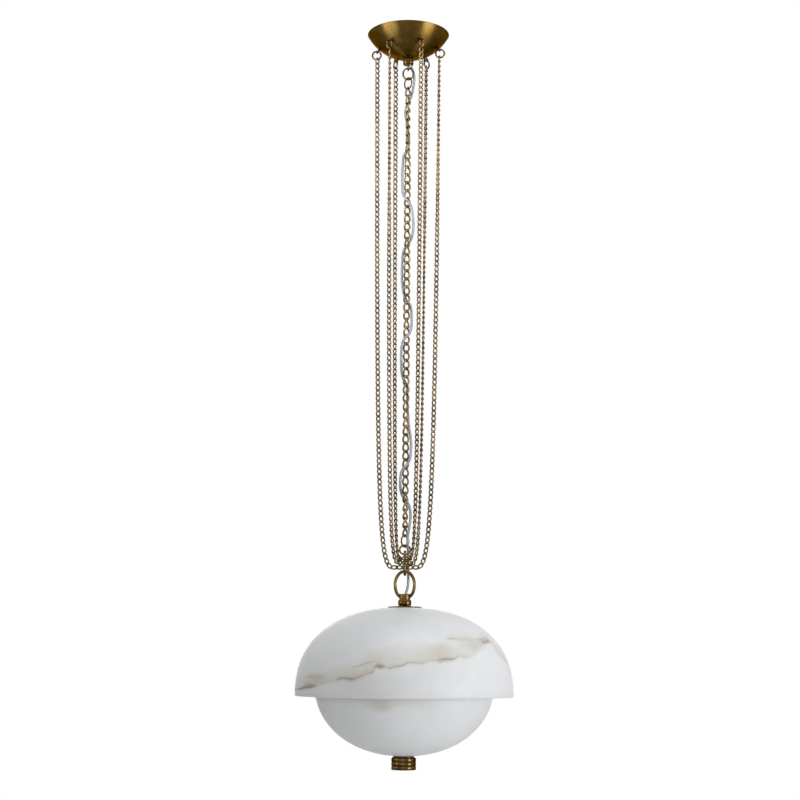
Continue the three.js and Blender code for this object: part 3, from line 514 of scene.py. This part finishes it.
def along_stations(tree, across, stations, column, lowest, highest):
    """A value that runs through one column of the stations, by the share of the way across."""
    node = add_node(tree, "FloatCurve", {"Value": across})
    curve = node.mapping.curves[0]
    span = highest - lowest
    shares = [((row[0] + VEIN_REACH) / (2 * VEIN_REACH), (row[column] - lowest) / span) for row in stations]
    curve.points[0].location = shares[0]
    curve.points[1].location = shares[-1]
    for share in shares[1:-1]:
        curve.points.new(*share)
    node.mapping.update()
    return math_node(tree, "ADD", product(tree, node.outputs[0], span), lowest)


def patch_mask(tree, place, centre, spread, strength):
    """A soft patch round a centre, as wide, deep and tall as its spread."""
    away = vector_node(tree, "SUBTRACT", place, centre)
    scaled = stretched(tree, away, tuple(1 / half for half in spread))
    length = vector_node(tree, "LENGTH", scaled, output="Value")
    return range_node(tree, length, *PATCH_SHARES, 0.0, strength)


def vein_line(tree, body, depth, strength, widths):
    """A brown halo round a sheet, and a soft dark line that thickens where it is strong."""
    distance = math_node(tree, "ABSOLUTE", depth)
    halo = product(tree, range_node(tree, distance, widths["halo"], 0.0, 0.0, 0.65), strength)
    body = mix_colour(tree, halo, body, STONE["halo"])
    width = math_node(tree, "ADD", product(tree, strength, widths["line"]), widths["line"] / 2)
    nearness = math_node(tree, "SUBTRACT", 1.0, math_node(tree, "DIVIDE", distance, width), clamp=True)
    line = product(tree, range_node(tree, nearness, 0.0, 1.15), strength)
    colour = mix_colour(tree, range_node(tree, strength, 0.6, 1.0), STONE["line"], STONE["knot"])
    return mix_colour(tree, line, body, colour)


def alabaster():
    material, tree, shader = new_material("honed_alabaster")
    place = object_place(tree)
    cloud = noise_node(tree, place, STONE_GRAIN["cloud"], 5.0, 0.6)
    fine = noise_node(tree, place, STONE_GRAIN["fine"], 4.0, 0.6)
    body = mix_colour(tree, range_node(tree, cloud, 0.3, 0.7), STONE["shadow"], STONE["body"])
    body = mix_colour(tree, range_node(tree, fine, 0.35, 0.75, 0.0, 0.3), body, STONE["light"])

    x, y, z = add_node(tree, "SeparateXYZ", {0: warped(tree, place, RAGGED)}).outputs
    values = {"Value": x, "From Min": -VEIN_REACH, "From Max": VEIN_REACH}
    across = add_node(tree, "MapRange", values).outputs["Result"]
    leaned = math_node(tree, "ADD", z, product(tree, y, VEIN_LEAN))
    patches = noise_node(tree, place, STONE_GRAIN["patches"], 4.0)

    # A warm haze between the vein and its top edge, on the dome's front alone
    sheet = along_stations(tree, across, VEIN, 1, *VEIN_SPAN)
    top = along_stations(tree, across, VEIN, 3, *VEIN_SPAN)
    haze = along_stations(tree, across, VEIN, 4, 0, 1)
    front = range_node(tree, y, *HAZE["front"])
    haze = product(tree, haze, front)
    over = math_node(tree, "SUBTRACT", leaned, sheet)
    under = math_node(tree, "SUBTRACT", top, leaned)
    haze = product(tree, haze, range_node(tree, over, *HAZE["foot"]))
    haze = product(tree, haze, range_node(tree, under, *HAZE["top"]))
    haze = product(tree, haze, range_node(tree, over, *HAZE["fade"], 0.4, 0.85))
    haze = product(tree, haze, range_node(tree, patches, 0.3, 0.65, 0.4, 1.0))
    body = mix_colour(tree, haze, body, STONE["haze"])

    soft = warped(tree, place, DRIFT)
    # The warm clouds, and the patch of painted shade on the dome's lower left
    for centre, spread, colour, strength in STONE_CLOUDS_AND_SHADE:
        body = mix_colour(tree, patch_mask(tree, soft, centre, spread, strength), body, colour)

    strength = along_stations(tree, across, VEIN, 2, 0, 1)
    breaks = noise_node(tree, place, STONE_GRAIN["breaks"], 3.0)
    strength = product(tree, strength, range_node(tree, breaks, 0.35, 0.55, 0.45, 1.0))
    body = vein_line(tree, body, over, strength, VEIN_WIDTHS)
    for thread in THREADS:
        ends = [(-VEIN_REACH, thread[0][1], 0.0), *thread, (VEIN_REACH, thread[-1][1], 0.0)]
        sheet = along_stations(tree, across, ends, 1, *VEIN_SPAN)
        strength = along_stations(tree, across, ends, 2, 0, 1)
        strength = product(tree, strength, front)
        body = vein_line(tree, body, math_node(tree, "SUBTRACT", leaned, sheet), strength, THREAD_WIDTHS)

    put(shader, {
        "Base Color": body,
        "Roughness": range_node(tree, fine, 0.3, 0.7, 0.36, 0.48),
        "Subsurface Weight": 0.25,
        "Subsurface Radius": (1.0, 0.95, 0.88),
        "Subsurface Scale": STONE_GLOW,
        "Specular IOR Level": 0.3,
    })
    bump(tree, shader, noise_node(tree, place, STONE_GRAIN["skin"], 3.0), STONE_GRAIN["bump"], 0.2)
    return material


def brass(name, dark, bright, roughness, grain=EVEN_BRUSH, aniso=0.0):
    """Antiqued brass: brown where it is toned, golden where it is rubbed."""
    material, tree, shader = new_material(name)
    place = object_place(tree)
    tone = noise_node(tree, place, BRASS_GRAIN["tone"], 5.0, 0.6)
    blotch = noise_node(tree, place, BRASS_GRAIN["blotch"], 3.0)
    colour = mix_colour(tree, range_node(tree, tone, 0.32, 0.68), dark, bright)
    colour = mix_colour(tree, range_node(tree, blotch, 0.4, 0.75, 0.0, 0.35), colour, dark)
    brush = noise_node(tree, stretched(tree, place, grain), 1.0, 3.0)
    rough = range_node(tree, brush, 0.3, 0.7, roughness - 0.06, roughness + 0.08)
    put(shader, {"Base Color": colour, "Metallic": 1.0, "Specular Tint": BRASS_TINT, "Roughness": rough})
    if aniso:
        tangent = add_node(tree, "Tangent", direction_type="RADIAL", axis="Z").outputs["Tangent"]
        put(shader, {"Anisotropic": aniso, "Anisotropic Rotation": 0.25, "Tangent": tangent})
    bump(tree, shader, brush, BRASS_GRAIN["bump"], 0.3)
    return material


def steel():
    material, tree, shader = new_material("zinc_plated_steel")
    place = object_place(tree)
    tone = noise_node(tree, place, STEEL_GRAIN["tone"], 4.0)
    rough = range_node(tree, tone, 0.3, 0.7, 0.32, 0.5)
    put(shader, {"Base Color": mix_colour(tree, tone, *STEEL_COLOURS), "Metallic": 1.0, "Roughness": rough})
    bump(tree, shader, noise_node(tree, place, STEEL_GRAIN["skin"], 2.0), STEEL_GRAIN["bump"], 0.25)
    return material


def cord_plastic():
    material, tree, shader = new_material("translucent_cord")
    place = object_place(tree)
    tone = noise_node(tree, stretched(tree, place, CORD_GRAIN["tone"]), 1.0, 2.0)
    put(shader, {"Base Color": mix_colour(tree, tone, *CORD_COLOURS), "Roughness": 0.25})
    put(shader, {"Transmission Weight": 0.3, "IOR": 1.45})
    bump(tree, shader, noise_node(tree, place, CORD_GRAIN["skin"], 2.0), CORD_GRAIN["bump"], 0.2)
    return material


def felt():
    material, tree, shader = new_material("dark_felt")
    place = object_place(tree)
    fibres = noise_node(tree, place, FELT_GRAIN["fibres"], 5.0, 0.7)
    colour = mix_colour(tree, fibres, *FELT_COLOURS)
    put(shader, {"Base Color": colour, "Roughness": 0.95, "Sheen Weight": 0.3})
    bump(tree, shader, fibres, FELT_GRAIN["bump"], 0.6)
    return material


def glazed(name, dark, bright, roughness):
    """Porcelain and opal glass: a pale body with a faint cloud."""
    material, tree, shader = new_material(name)
    place = object_place(tree)
    tone = noise_node(tree, place, GLAZE_GRAIN["tone"], 3.0)
    colour = mix_colour(tree, tone, dark, bright)
    put(shader, {"Base Color": colour, "Roughness": roughness, "Coat Weight": 0.4})
    bump(tree, shader, noise_node(tree, place, GLAZE_GRAIN["skin"], 2.0), GLAZE_GRAIN["bump"], 0.15)
    return material


ALABASTER = alabaster()
BRASS = brass("antique_brass", (0.065, 0.036, 0.009), (0.19, 0.12, 0.042), 0.25)
CHAIN_BRASS = brass("chain_brass", (0.088, 0.063, 0.028), (0.30, 0.21, 0.098), 0.32)
SPUN_BRASS = brass("spun_brass", (0.106, 0.057, 0.0095), (0.140, 0.081, 0.020), 0.35, SPUN_BRUSH, 0.85)
TURNED_BRASS = brass("turned_brass", (0.060, 0.031, 0.009), (0.150, 0.092, 0.032), 0.17, TURNED_BRUSH, 0.5)
STEEL = steel()
CORD_PLASTIC = cord_plastic()
FELT = felt()
PORCELAIN = glazed("porcelain", (0.82, 0.81, 0.78), (0.9, 0.89, 0.86), 0.18)
OPAL = glazed("opal_glass", (0.9, 0.89, 0.86), (0.95, 0.94, 0.92), 0.12)


# The canopy and the rings
def canopy_shell():
    """A spun cap with a rolled edge."""
    steps = 40

    def arc(radius):
        first = asin(CANOPY["hole"] / radius)
        last = acos(SPHERE_Z / radius)
        angles = [first + (last - first) * i / steps for i in range(steps + 1)]
        return [(radius * sin(a), SPHERE_Z - radius * cos(a)) for a in angles]

    outer = arc(SPHERE)
    inner = arc(SPHERE - CANOPY["wall"])
    middle = (outer[-1][0] + inner[-1][0]) / 2
    outline = outer[:-1] + [(outer[-1][0], -CANOPY["edge"]), (middle, 0.0), (inner[-1][0], -CANOPY["edge"])]
    obj = turned("canopy_shell_spun", outline + inner[-2::-1], SEGMENTS["canopy"])
    dress(obj, SPUN_BRASS, "canopy", "canopy_shell")


def canopy_collar():
    top = high("canopy_collar")
    bottom = low("canopy_collar")
    outer = COLLAR["outer"] / 2
    inner = outer - COLLAR["wall"]
    bead = COLLAR["edge"]
    outline = [
        (COLLAR["bore"], top),
        (outer - bead, top),
        (outer, top - bead),
        (outer, bottom + 2 * bead),
        (outer - bead / 2, bottom + bead),
        (outer, bottom),
        (inner, bottom),
        (inner, top - COLLAR["sleeve"]),
        (COLLAR["bore"], top - COLLAR["sleeve"]),
    ]
    obj = turned("canopy_collar_turned", rounded(outline, bead / 2), SEGMENTS["small"])
    dress(obj, BRASS, "canopy", "canopy_collar")


def canopy_loop():
    """The plug and its U-shaped loop."""
    bottom = low("canopy_collar")
    bend_z = bottom - CANOPY_LOOP["leg"]
    radius = CANOPY_LOOP["radius"]
    steps = 24
    bend = []
    for i in range(steps + 1):
        angle = pi + pi * i / steps
        bend.append(Vector((0, radius * cos(angle), bend_z + radius * sin(angle))))
    top = bottom + PLUG["thick"] / 2
    points = [Vector((0, -radius, top)), *bend, Vector((0, radius, top))]
    sides = SIDES["wire"]
    wire = (wire_rings(points, CANOPY_LOOP["wire"] / 2, sides, False), skin_faces(len(points), sides, False))
    plug = rounded(pipe_outline(0, PLUG["outer"] / 2, bottom, bottom + PLUG["thick"]), PLUG["thick"] / 5)
    parts = [wire, lathe_part(plug, SEGMENTS["small"])]
    obj = join_parts("canopy_loop_fine", parts, CREASE["joined"])
    dress(obj, BRASS, "canopy", "canopy_loop")


def ring_points(centre, across, up, half_width, half_height, steps):
    points = []
    for i in range(steps):
        angle = 2 * pi * i / steps
        points.append(centre + across * (half_width * cos(angle)) + up * (half_height * sin(angle)))
    return points


def eye_set(index):
    """A screw eye and the jump ring in it, at one of the six places round the canopy."""
    azimuth = radians(EYE["first_deg"] + 360 * index / EYE["count"])
    outward = Vector((cos(azimuth), sin(azimuth), 0))
    across = Vector((-sin(azimuth), cos(azimuth), 0))
    rise = sqrt(SPHERE ** 2 - EYE["place"] ** 2)
    normal = (outward * EYE["place"] - Vector((0, 0, rise))).normalized()
    centre = Vector((0, 0, SPHERE_Z)) + normal * (SPHERE + EYE["stand"])
    steps = 32
    sides = SIDES["eye"]
    points = ring_points(centre, across, normal, EYE["ring"], EYE["ring"], steps)
    parts = [(wire_rings(points, EYE["wire"] / 2, sides, True, centre), skin_faces(steps, sides, True))]
    rods = [
        (EYE["ring"] - EYE["wire"] / 4, EYE["stand"] + SHANK["reach"], SHANK["wire"] / 2, SIDES["shank"]),
        (EYE["stand"], EYE["stand"] - GAP * 3, SHANK["wire"] * SHANK["foot_share"], SIDES["foot"]),
    ]
    for start, end, radius, sides in rods:
        corners = wire_rings([centre - normal * start, centre - normal * end], radius, sides, False)
        parts.append((corners, skin_faces(2, sides, False)))
    name = f"hook_eye_{index + 1}"
    dress(join_parts(name + "_fine", parts, CREASE["joined"]), BRASS, "canopy", name)

    name = f"jump_ring_{index + 1}"
    middle = outward * (centre + normal * EYE["ring"]).dot(outward) + Vector((0, 0, mid(name)))
    points = ring_points(middle, outward, Vector((0, 0, 1)), JUMP["radius"], JUMP["radius"], 48)
    ring = loop_object(name + "_fine", points, JUMP["wire"], SIDES["jump"], middle)
    dress(ring, BRASS, "canopy", name)


def oval_ring(name):
    half_width, half_height, wire, turn_deg, body = RINGS[name]
    turn = radians(turn_deg)
    centre = Vector((0, 0, mid(name)))
    across = Vector((cos(turn), sin(turn), 0))
    points = ring_points(centre, across, Vector((0, 0, 1)), half_width, half_height, 64)
    obj = loop_object(name + "_fine", points, wire, SIDES["wire"], centre)
    dress(obj, BRASS, body, name)


def carrier_link():
    centre = Vector((0, 0, mid("carrier_link")))
    straight = CARRIER["half_height"] - CARRIER["half_width"]
    steps = 72
    points = []
    for i in range(steps):
        angle = 2 * pi * (i + 0.5) / steps
        end = copysign(straight, sin(angle))
        reach = Vector((0, cos(angle), sin(angle))) * CARRIER["half_width"]
        points.append(centre + reach + Vector((0, 0, end)))
    obj = loop_object("carrier_link_fine", points, CARRIER["wire"], SIDES["loop"], centre)
    dress(obj, BRASS, "carrier", "carrier_link")


# Curb chains
def link_template(link, half_length, steps, sides):
    """Corners of one link in its own frame: across, through and along."""
    points = []
    for i in range(steps):
        angle = 2 * pi * i / steps
        turn = cos(angle)
        twist = radians(link["twist_deg"]) * sin(angle)
        across = link["half_width"] * copysign(abs(turn) ** link["corner"], turn)
        height = half_length * sin(angle)
        points.append(Vector((across * cos(twist), across * sin(twist), height)))
    return wire_rings(points, link["wire"] / 2, sides, True, Vector((0, 0, 0)))


def facing_at(stations, height):
    """The facing in degrees at a height, eased between the stations."""
    if height >= stations[0][0]:
        return stations[0][1]
    for (z0, f0), (z1, f1) in zip(stations, stations[1:]):
        if height >= z1:
            return f0 + (f1 - f0) * smooth((z0 - height) / (z0 - z1))
    return stations[-1][1]


def placed_link(template, place, along, wide):
    through = along.cross(wide)
    return [place + wide * c.x + through * c.y + along * c.z for c in template]


def main_chain():
    count = MAIN_LINK["count"]
    top = high("main_chain_upper")
    bottom = low("main_chain_lower")
    wire = MAIN_LINK["wire"]
    pitch = (top - bottom - 2 * wire) / count
    half = (pitch + wire) / 2
    steps, sides = 28, 10
    template = link_template(MAIN_LINK, half, steps, sides)
    faces = skin_faces(steps, sides, True)
    up = Vector((0, 0, 1))
    runs = ["main_chain_upper", "main_chain_middle", "main_chain_lower"]
    first_z = top - wire / 2 - half
    spacing = (first_z - (bottom + wire / 2 + half)) / (count - 1)
    for index, name in enumerate(runs):
        first = round(count * index / len(runs))
        last = round(count * (index + 1) / len(runs))
        parts = []
        for i in range(first, last):
            z = first_z - i * spacing
            facing = radians(facing_at(MAIN_FACINGS, z))
            wide = Vector((cos(facing), sin(facing), 0))
            parts.append((placed_link(template, Vector((0, 0, z)), up, wide), faces))
        obj = join_parts(name + "_links", parts, CREASE["wire"])
        dress(obj, CHAIN_BRASS, "chain", name)


def swag_place(turn, bottom, s):
    """The point of a side chain at the signed length s from the middle of its U, and its plan heading."""
    reach = abs(s)
    rise = 0.0
    radius = reach
    if reach > SWAG["flat"]:
        u = asinh((reach - SWAG["flat"]) / SWAG["curve"])
        radius = SWAG["flat"] + SWAG["curve"] * u
        rise = SWAG["curve"] * (cosh(u) - 1)
    angle = turn * smooth(radius / SWAG["flat"])
    sign = -1 if s < 0 else 1
    return Vector((sign * radius * cos(angle), sign * radius * sin(angle), bottom + rise))


def swag_chain(name):
    turn = radians(SWAG_TURNS[name])
    bottom = low(name) + SWAG["width"] / 2
    wire = SIDE_LINK["wire"]
    ring_low = low("jump_ring_1") + JUMP["wire"] / 2
    end_bow = ring_low + (JUMP["wire"] + wire) / 2
    half_guess = (SIDE_LINK["pitch"] + wire) / 2
    end_rise = end_bow - half_guess - bottom
    end_length = SWAG["flat"] + SWAG["curve"] * sinh(acosh(1 + end_rise / SWAG["curve"]))
    count = round(end_length / SIDE_LINK["pitch"])
    pitch = end_length / count
    steps, sides = 14, 6
    template = link_template(SIDE_LINK, (pitch + wire) / 2, steps, sides)
    faces = skin_faces(steps, sides, True)
    zones = {
        "top": ("canopy", "hanger_ring", TOP_BEND, []),
        "second": ("hanger_ring", "chain", SECOND_BEND, []),
        "low": ("chain", "carrier", LOW_BEND, []),
    }
    nudge = pitch / 20
    for i in range(-count, count + 1):
        s = i * pitch
        place = swag_place(turn, bottom, s)
        along = (swag_place(turn, bottom, s + nudge) - swag_place(turn, bottom, s - nudge)).normalized()
        heading = Vector((along.x, along.y, 0)).normalized()
        flat_side = Vector((-heading.y, heading.x, 0))
        wide = along.cross(flat_side)
        strand = (name, -1 if s < 0 else 1)
        extra = radians(facing_at(SIDE_FACINGS[strand], place.z)) - turn
        steep = smooth((abs(along.z) - STEEP_SHARES[0]) / (STEEP_SHARES[1] - STEEP_SHARES[0]))
        if s < 0:
            along = -along
            wide = -wide
        wide = Matrix.Rotation(extra * steep, 3, along) @ wide
        zone = "top" if place.z > TOP_BEND[1] else "second" if place.z > SECOND_BEND[1] else "low"
        zones[zone][3].append((placed_link(template, place, along, wide), faces))
    for zone, (upper, lower, (start, end), parts) in zones.items():
        obj = join_parts(f"{name}_{zone}", parts, CREASE["wire"])
        dress(obj, CHAIN_BRASS, None, name)
        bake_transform(obj)


# The supply cord
def cord_line(points):
    """Points along a centripetal curve through the route."""
    ends = [points[0] * 2 - points[1], *points, points[-1] * 2 - points[-2]]
    line = []
    for i in range(1, len(ends) - 2):
        p0, p1, p2, p3 = ends[i - 1:i + 3]
        d0, d1, d2 = (p1 - p0).length ** 0.5, (p2 - p1).length ** 0.5, (p3 - p2).length ** 0.5
        t1 = ((p1 - p0) / d0 - (p2 - p0) / (d0 + d1) + (p2 - p1) / d1) * d1
        t2 = ((p2 - p1) / d1 - (p3 - p1) / (d1 + d2) + (p3 - p2) / d2) * d1
        square = p2 * 3 - p1 * 3 - t1 * 2 - t2
        cube = p1 * 2 - p2 * 2 + t1 + t2
        count = max(2, ceil((p2 - p1).length / CORD_STEP))
        for k in range(count):
            t = k / count
            line.append(p1 + t1 * t + square * t ** 2 + cube * t ** 3)
    line.append(points[-1])
    return line


def supply_cord():
    line = cord_line([Vector(p) * MM for p in CORD_ROUTE_MM])
    sides = SIDES["cord"]
    corners = wire_rings(line, CORD_RADIUS, sides, False)
    cuts = [0]
    for (_, _, _, end), (_, _, start, _) in zip(CORD_CUTS, CORD_CUTS[1:]):
        height = (end + start) / 2
        cuts.append(next(i for i, p in enumerate(line) if p.z < height))
    cuts.append(len(line) - 1)
    for index, (upper, lower, start, end) in enumerate(CORD_CUTS):
        first, last = cuts[index], cuts[index + 1]
        path = line[first:last + 1]
        part = corners[first * sides:(last + 1) * sides]
        faces = skin_faces(len(path), sides, False)
        obj = make_object(f"supply_cord_{index + 1}", part, faces, CREASE["cord"])
        dress(obj, CORD_PLASTIC, None, "supply_cord")
        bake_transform(obj)


# The egg-shaped loop, neck and cap
def top_loop():
    top_wire = high("top_loop") - TOP_LOOP["wire"] / 2
    middle = top_wire - TOP_LOOP["widest"]
    below = TOP_LOOP["height"] - TOP_LOOP["widest"]
    steps, sides = 96, SIDES["loop"]
    points = []
    for i in range(steps):
        angle = 2 * pi * i / steps
        rise = sin(angle)
        across = cos(angle)
        if rise < 0:
            across = copysign(abs(across) ** TOP_LOOP["foot_share"], across)
        height = middle + rise * (TOP_LOOP["widest"] if rise > 0 else below)
        points.append(Vector((TOP_LOOP["half_width"] * across, 0, height)))
    wire = wire_rings(points, TOP_LOOP["wire"] / 2, sides, True, Vector((0, 0, middle)))
    bottom = low("top_loop")
    top = top_wire - TOP_LOOP["height"] - TOP_LOOP["wire"] / 2 + BOSS["tall"]
    boss = pipe_outline(BOSS["bore"] / 2, BOSS["outer"] / 2, bottom, top)
    parts = [(wire, skin_faces(steps, sides, True))]
    parts.append(lathe_part(rounded(boss, BOSS["edge"]), SEGMENTS["small"]))
    obj = join_parts("top_loop_fine", parts, CREASE["joined"])
    dress(obj, BRASS, "shade", "top_loop")


def neck_coupling():
    """A short waist over one rounded bead."""
    top = high("neck_coupling")
    bottom = low("neck_coupling")
    bead_high = top - NECK["waist_tall"]
    half_tall = (bead_high - bottom) / 2
    steps = 20
    outline = [(NECK["bore"], top), (NECK["waist"], top), (NECK["waist"], bead_high)]
    for i in range(steps):
        angle = pi * (i + 0.5) / steps
        reach = NECK["outer"] - NECK["bulge"] * (1 - sin(angle))
        outline.append((reach, bead_high - half_tall * (1 - cos(angle))))
    outline += [(NECK["outer"] - NECK["bulge"], bottom), (NECK["bore"], bottom)]
    obj = turned("neck_coupling_turned", outline, SEGMENTS["neck"])
    dress(obj, TURNED_BRASS, "shade", "neck_coupling")


def top_cap():
    """A thin disc, dished at its rim to lie close to the stone."""
    top = high("top_cap")
    bottom = low("top_cap")
    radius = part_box("top_cap")[1][0]
    bore = COLLAR["bore"]
    steps = 12
    upper = []
    for i in range(steps + 1):
        r = bore + (radius - bore) * i / steps
        upper.append((r, top - CAP["dish"] * (r / radius) ** 3))
    under = [(r, min(bottom, z - CAP["edge"])) for r, z in reversed(upper)]
    obj = turned("top_cap_turned", upper + under, SEGMENTS["disc"])
    dress(obj, BRASS, "shade", "top_cap")


def washer(node, body, material, edge):
    """A flat turned ring of the size of its solid."""
    lowest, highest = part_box(node)
    bore = COLLAR["bore"]
    outline = rounded(pipe_outline(bore, highest[0], lowest[2], highest[2]), edge)
    dress(turned(node + "_turned", outline, SEGMENTS["disc"]), material, body, node)


# Stone shades
def shade_outline(size):
    """The closed section of a hollow shade, its crown at the full height and its rim at zero."""
    steps = 40
    power = size["power"]

    def arc(radius, tall):
        points = []
        for i in range(steps + 1):
            angle = pi / 2 * i / steps
            r = max(radius * sin(angle) ** (2 / power), size["hole"])
            rise = tall * max(1 - (r / radius) ** power, 0) ** (1 / power)
            points.append((r, rise))
        points[-1] = (radius, 0.0)
        return [p for k, p in enumerate(points) if k == 0 or p[0] > points[k - 1][0]]

    outer = arc(size["outer"], size["tall"])
    inner = arc(size["outer"] - size["wall"], size["tall"] - size["wall"])
    far = size["outer"]
    near = far - size["wall"]
    rim = [
        (far, RIM_EDGE),
        (far - RIM_EDGE / 3, RIM_EDGE / 3),
        (far - RIM_EDGE, 0.0),
        (near + RIM_EDGE, 0.0),
        (near + RIM_EDGE / 3, RIM_EDGE / 3),
        (near, RIM_EDGE),
    ]
    return outer[:-1] + rim + inner[-2::-1]


def stone_shades():
    rim = low("dome_shade")
    dome = turned("dome_shade_stone", [(r, rim + z) for r, z in shade_outline(DOME)], SEGMENTS["shade"])
    dress(dome, ALABASTER, "shade", "dome_shade")
    rim = high("bowl_shade")
    bowl = turned("bowl_shade_stone", [(r, rim - z) for r, z in shade_outline(BOWL)], SEGMENTS["shade"])
    dress(bowl, ALABASTER, "bowl", "bowl_shade")


# Lamp holders and lamps
def along_x(azimuth_deg, height):
    """Turns a piece made along +Z to lie outwards at the azimuth, at the height."""
    lift = Matrix.Translation((0, 0, height))
    turn = Matrix.Rotation(radians(azimuth_deg), 4, "Z")
    shift = Matrix.Translation((HOLDER["inner"], 0, 0))
    return lift @ turn @ shift @ Matrix.Rotation(pi / 2, 4, "Y")


def lamp(index):
    axis = along_x(HOLDER_TURNS[index], mid("lamp_hub"))
    cup = [
        (0, 0),
        (HOLDER["outer"] - HOLDER["edge"], 0),
        (HOLDER["outer"], HOLDER["edge"]),
        (HOLDER["outer"], HOLDER["long"]),
        (HOLDER["bore"], HOLDER["long"]),
        (HOLDER["bore"], HOLDER["floor"]),
        (0, HOLDER["floor"]),
    ]
    name = f"lamp_holder_{index + 1}"
    part = lathe_part(rounded(cup, HOLDER["edge"] / 2), SEGMENTS["small"], axis)
    obj = join_parts(name + "_turned", [part])
    dress(obj, PORCELAIN, "shade", name)

    start = HOLDER["floor"] + GAP
    cap_end = start + BULB["cap_long"]
    middle = cap_end + BULB["neck"] + sqrt(BULB["globe"] ** 2 - BULB["cap"] ** 2)
    first = asin(BULB["cap"] / BULB["globe"])
    outline = [(0, start), (BULB["cap"] / 2, start), (BULB["cap"] - BULB["thread"], start + BULB["cap"] / 2)]
    turns = int((BULB["cap_long"] - BULB["cap"]) / BULB["pitch"])
    for i in range(turns * 4):
        angle = pi / 2 * i
        crest = BULB["cap"] - BULB["thread"] * (1 - sin(angle)) / 2
        outline.append((crest, start + BULB["cap"] / 2 + BULB["pitch"] * (i + 1) / 4))
    outline.append((BULB["cap"], cap_end))
    steps = 24
    for i in range(steps + 1):
        angle = first + (pi - first) * i / steps
        reach = 0 if i == steps else BULB["globe"] * sin(angle)
        outline.append((reach, middle - BULB["globe"] * cos(angle)))
    name = f"bulb_{index + 1}"
    obj = join_parts(name + "_fine", [lathe_part(outline, SEGMENTS["lamp"], axis)])
    dress(obj, OPAL, name, name)


def finial():
    """A straight stack of three equal beads."""
    top = high("finial")
    bottom = low("finial")
    radius = FINIAL["radius"]
    groove = radius * FINIAL["groove_share"]
    tall = FINIAL["tall"] / FINIAL["beads"]
    steps = 14
    outline = [(0, top - FINIAL["deep"]), (FINIAL["bore"], top - FINIAL["deep"]), (FINIAL["bore"], top)]
    for bead in range(FINIAL["beads"]):
        for i in range(steps):
            angle = pi * i / steps
            reach = groove + (radius - groove) * sin(angle)
            outline.append((reach, top - bead * tall - tall / 2 * (1 - cos(angle))))
    outline.append((groove - FINIAL["edge"] / 2, bottom + FINIAL["edge"] / 4))
    outline += [(FINIAL["foot"], bottom), (0, bottom)]
    obj = turned("finial_turned", outline, SEGMENTS["disc"], CREASE["bead"])
    dress(obj, TURNED_BRASS, "finial", "finial")


def plain_nodes():
    """The inner pieces whose solids stay, with their real finish."""
    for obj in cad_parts.values():
        if not obj.hide_render:
            for slot in obj.material_slots:
                slot.material = STEEL


# The room
def floor():
    half = FLOOR["half"]
    height = low("finial") - FLOOR["drop"]
    corners = [(-half, -half, height), (half, -half, height), (half, half, height), (-half, half, height)]
    obj = make_object("studio_floor", corners, [(0, 1, 2, 3)])
    material, tree, shader = new_material("pale_floor")
    tone = noise_node(tree, object_place(tree), FLOOR["tone"], 2.0)
    path = add_node(tree, "LightPath")
    seen = product(tree, path.outputs["Is Camera Ray"], FLOOR["glow_share"])
    put(shader, {"Base Color": mix_colour(tree, tone, *FLOOR_COLOURS), "Roughness": 0.8})
    put(shader, {"Emission Color": (1, 1, 1, 1), "Emission Strength": seen})
    # From below, the floor is clear
    under = add_node(tree, "NewGeometry").outputs["Backfacing"]
    clear = add_node(tree, "BsdfTransparent").outputs[0]
    blend = add_node(tree, "MixShader", {0: under, 1: shader.outputs[0], 2: clear})
    put(tree.nodes["Material Output"], {"Surface": blend.outputs[0]})
    obj.data.materials.append(material)


def surround():
    world = bpy.data.worlds.new("studio")
    scene.world = world
    world.use_nodes = True
    tree = world.node_tree
    path = add_node(tree, "LightPath")
    seen = math_node(tree, "MAXIMUM", path.outputs["Is Camera Ray"], path.outputs["Is Glossy Ray"])
    seen = math_node(tree, "MAXIMUM", seen, path.outputs["Is Transmission Ray"])
    strength = range_node(tree, seen, 0.0, 1.0, ROOM_LIGHT, 1.0)
    colour = mix_colour(tree, seen, ROOM_TINT, (1.0, 1.0, 1.0))
    put(tree.nodes["Background"], {"Strength": strength, "Color": colour})


def area_lamp(name, place, aim, size, power, tint):
    data = bpy.data.lights.new(name, "AREA")
    data.size = size
    data.energy = power
    data.color = tint
    lamp_object = bpy.data.objects.new(name, data)
    lamp_object.location = place
    lamp_object.rotation_euler = (Vector(aim) - Vector(place)).to_track_quat("-Z", "Y").to_euler()
    scene.collection.objects.link(lamp_object)


def camera():
    data = bpy.data.cameras.new("camera")
    data.sensor_width = SENSOR_MM
    data.lens = SENSOR_MM * FOCAL_PX / PHOTO_SIDE_PX
    obj = bpy.data.objects.new("camera", data)
    turn = Matrix.Rotation(atan(AXIS_OFFSET_PX / FOCAL_PX), 4, "Z")
    turn = turn @ Matrix.Rotation(pi / 2 + TILT_UP, 4, "X") @ Matrix.Rotation(ROLL, 4, "Z")
    obj.matrix_world = Matrix.Translation((0, -CAMERA_BACK, CAMERA_HEIGHT)) @ turn
    scene.collection.objects.link(obj)
    scene.camera = obj


camera()
supply_cord()
canopy_shell()
canopy_collar()
canopy_loop()
for eye_index in range(EYE["count"]):
    eye_set(eye_index)
for ring_name in RINGS:
    oval_ring(ring_name)
carrier_link()
main_chain()
for swag_name in SWAG_TURNS:
    swag_chain(swag_name)
top_loop()
neck_coupling()
top_cap()
washer("cap_gasket", "shade", FELT, GAP)
stone_shades()
for lamp_index in range(len(HOLDER_TURNS)):
    lamp(lamp_index)
washer("bowl_felt", "bowl", FELT, GAP / 2)
washer("finial_washer", "finial_washer", TURNED_BRASS, GAP)
finial()
plain_nodes()
floor()
surround()
for lamp_row in LAMPS:
    area_lamp(*lamp_row)
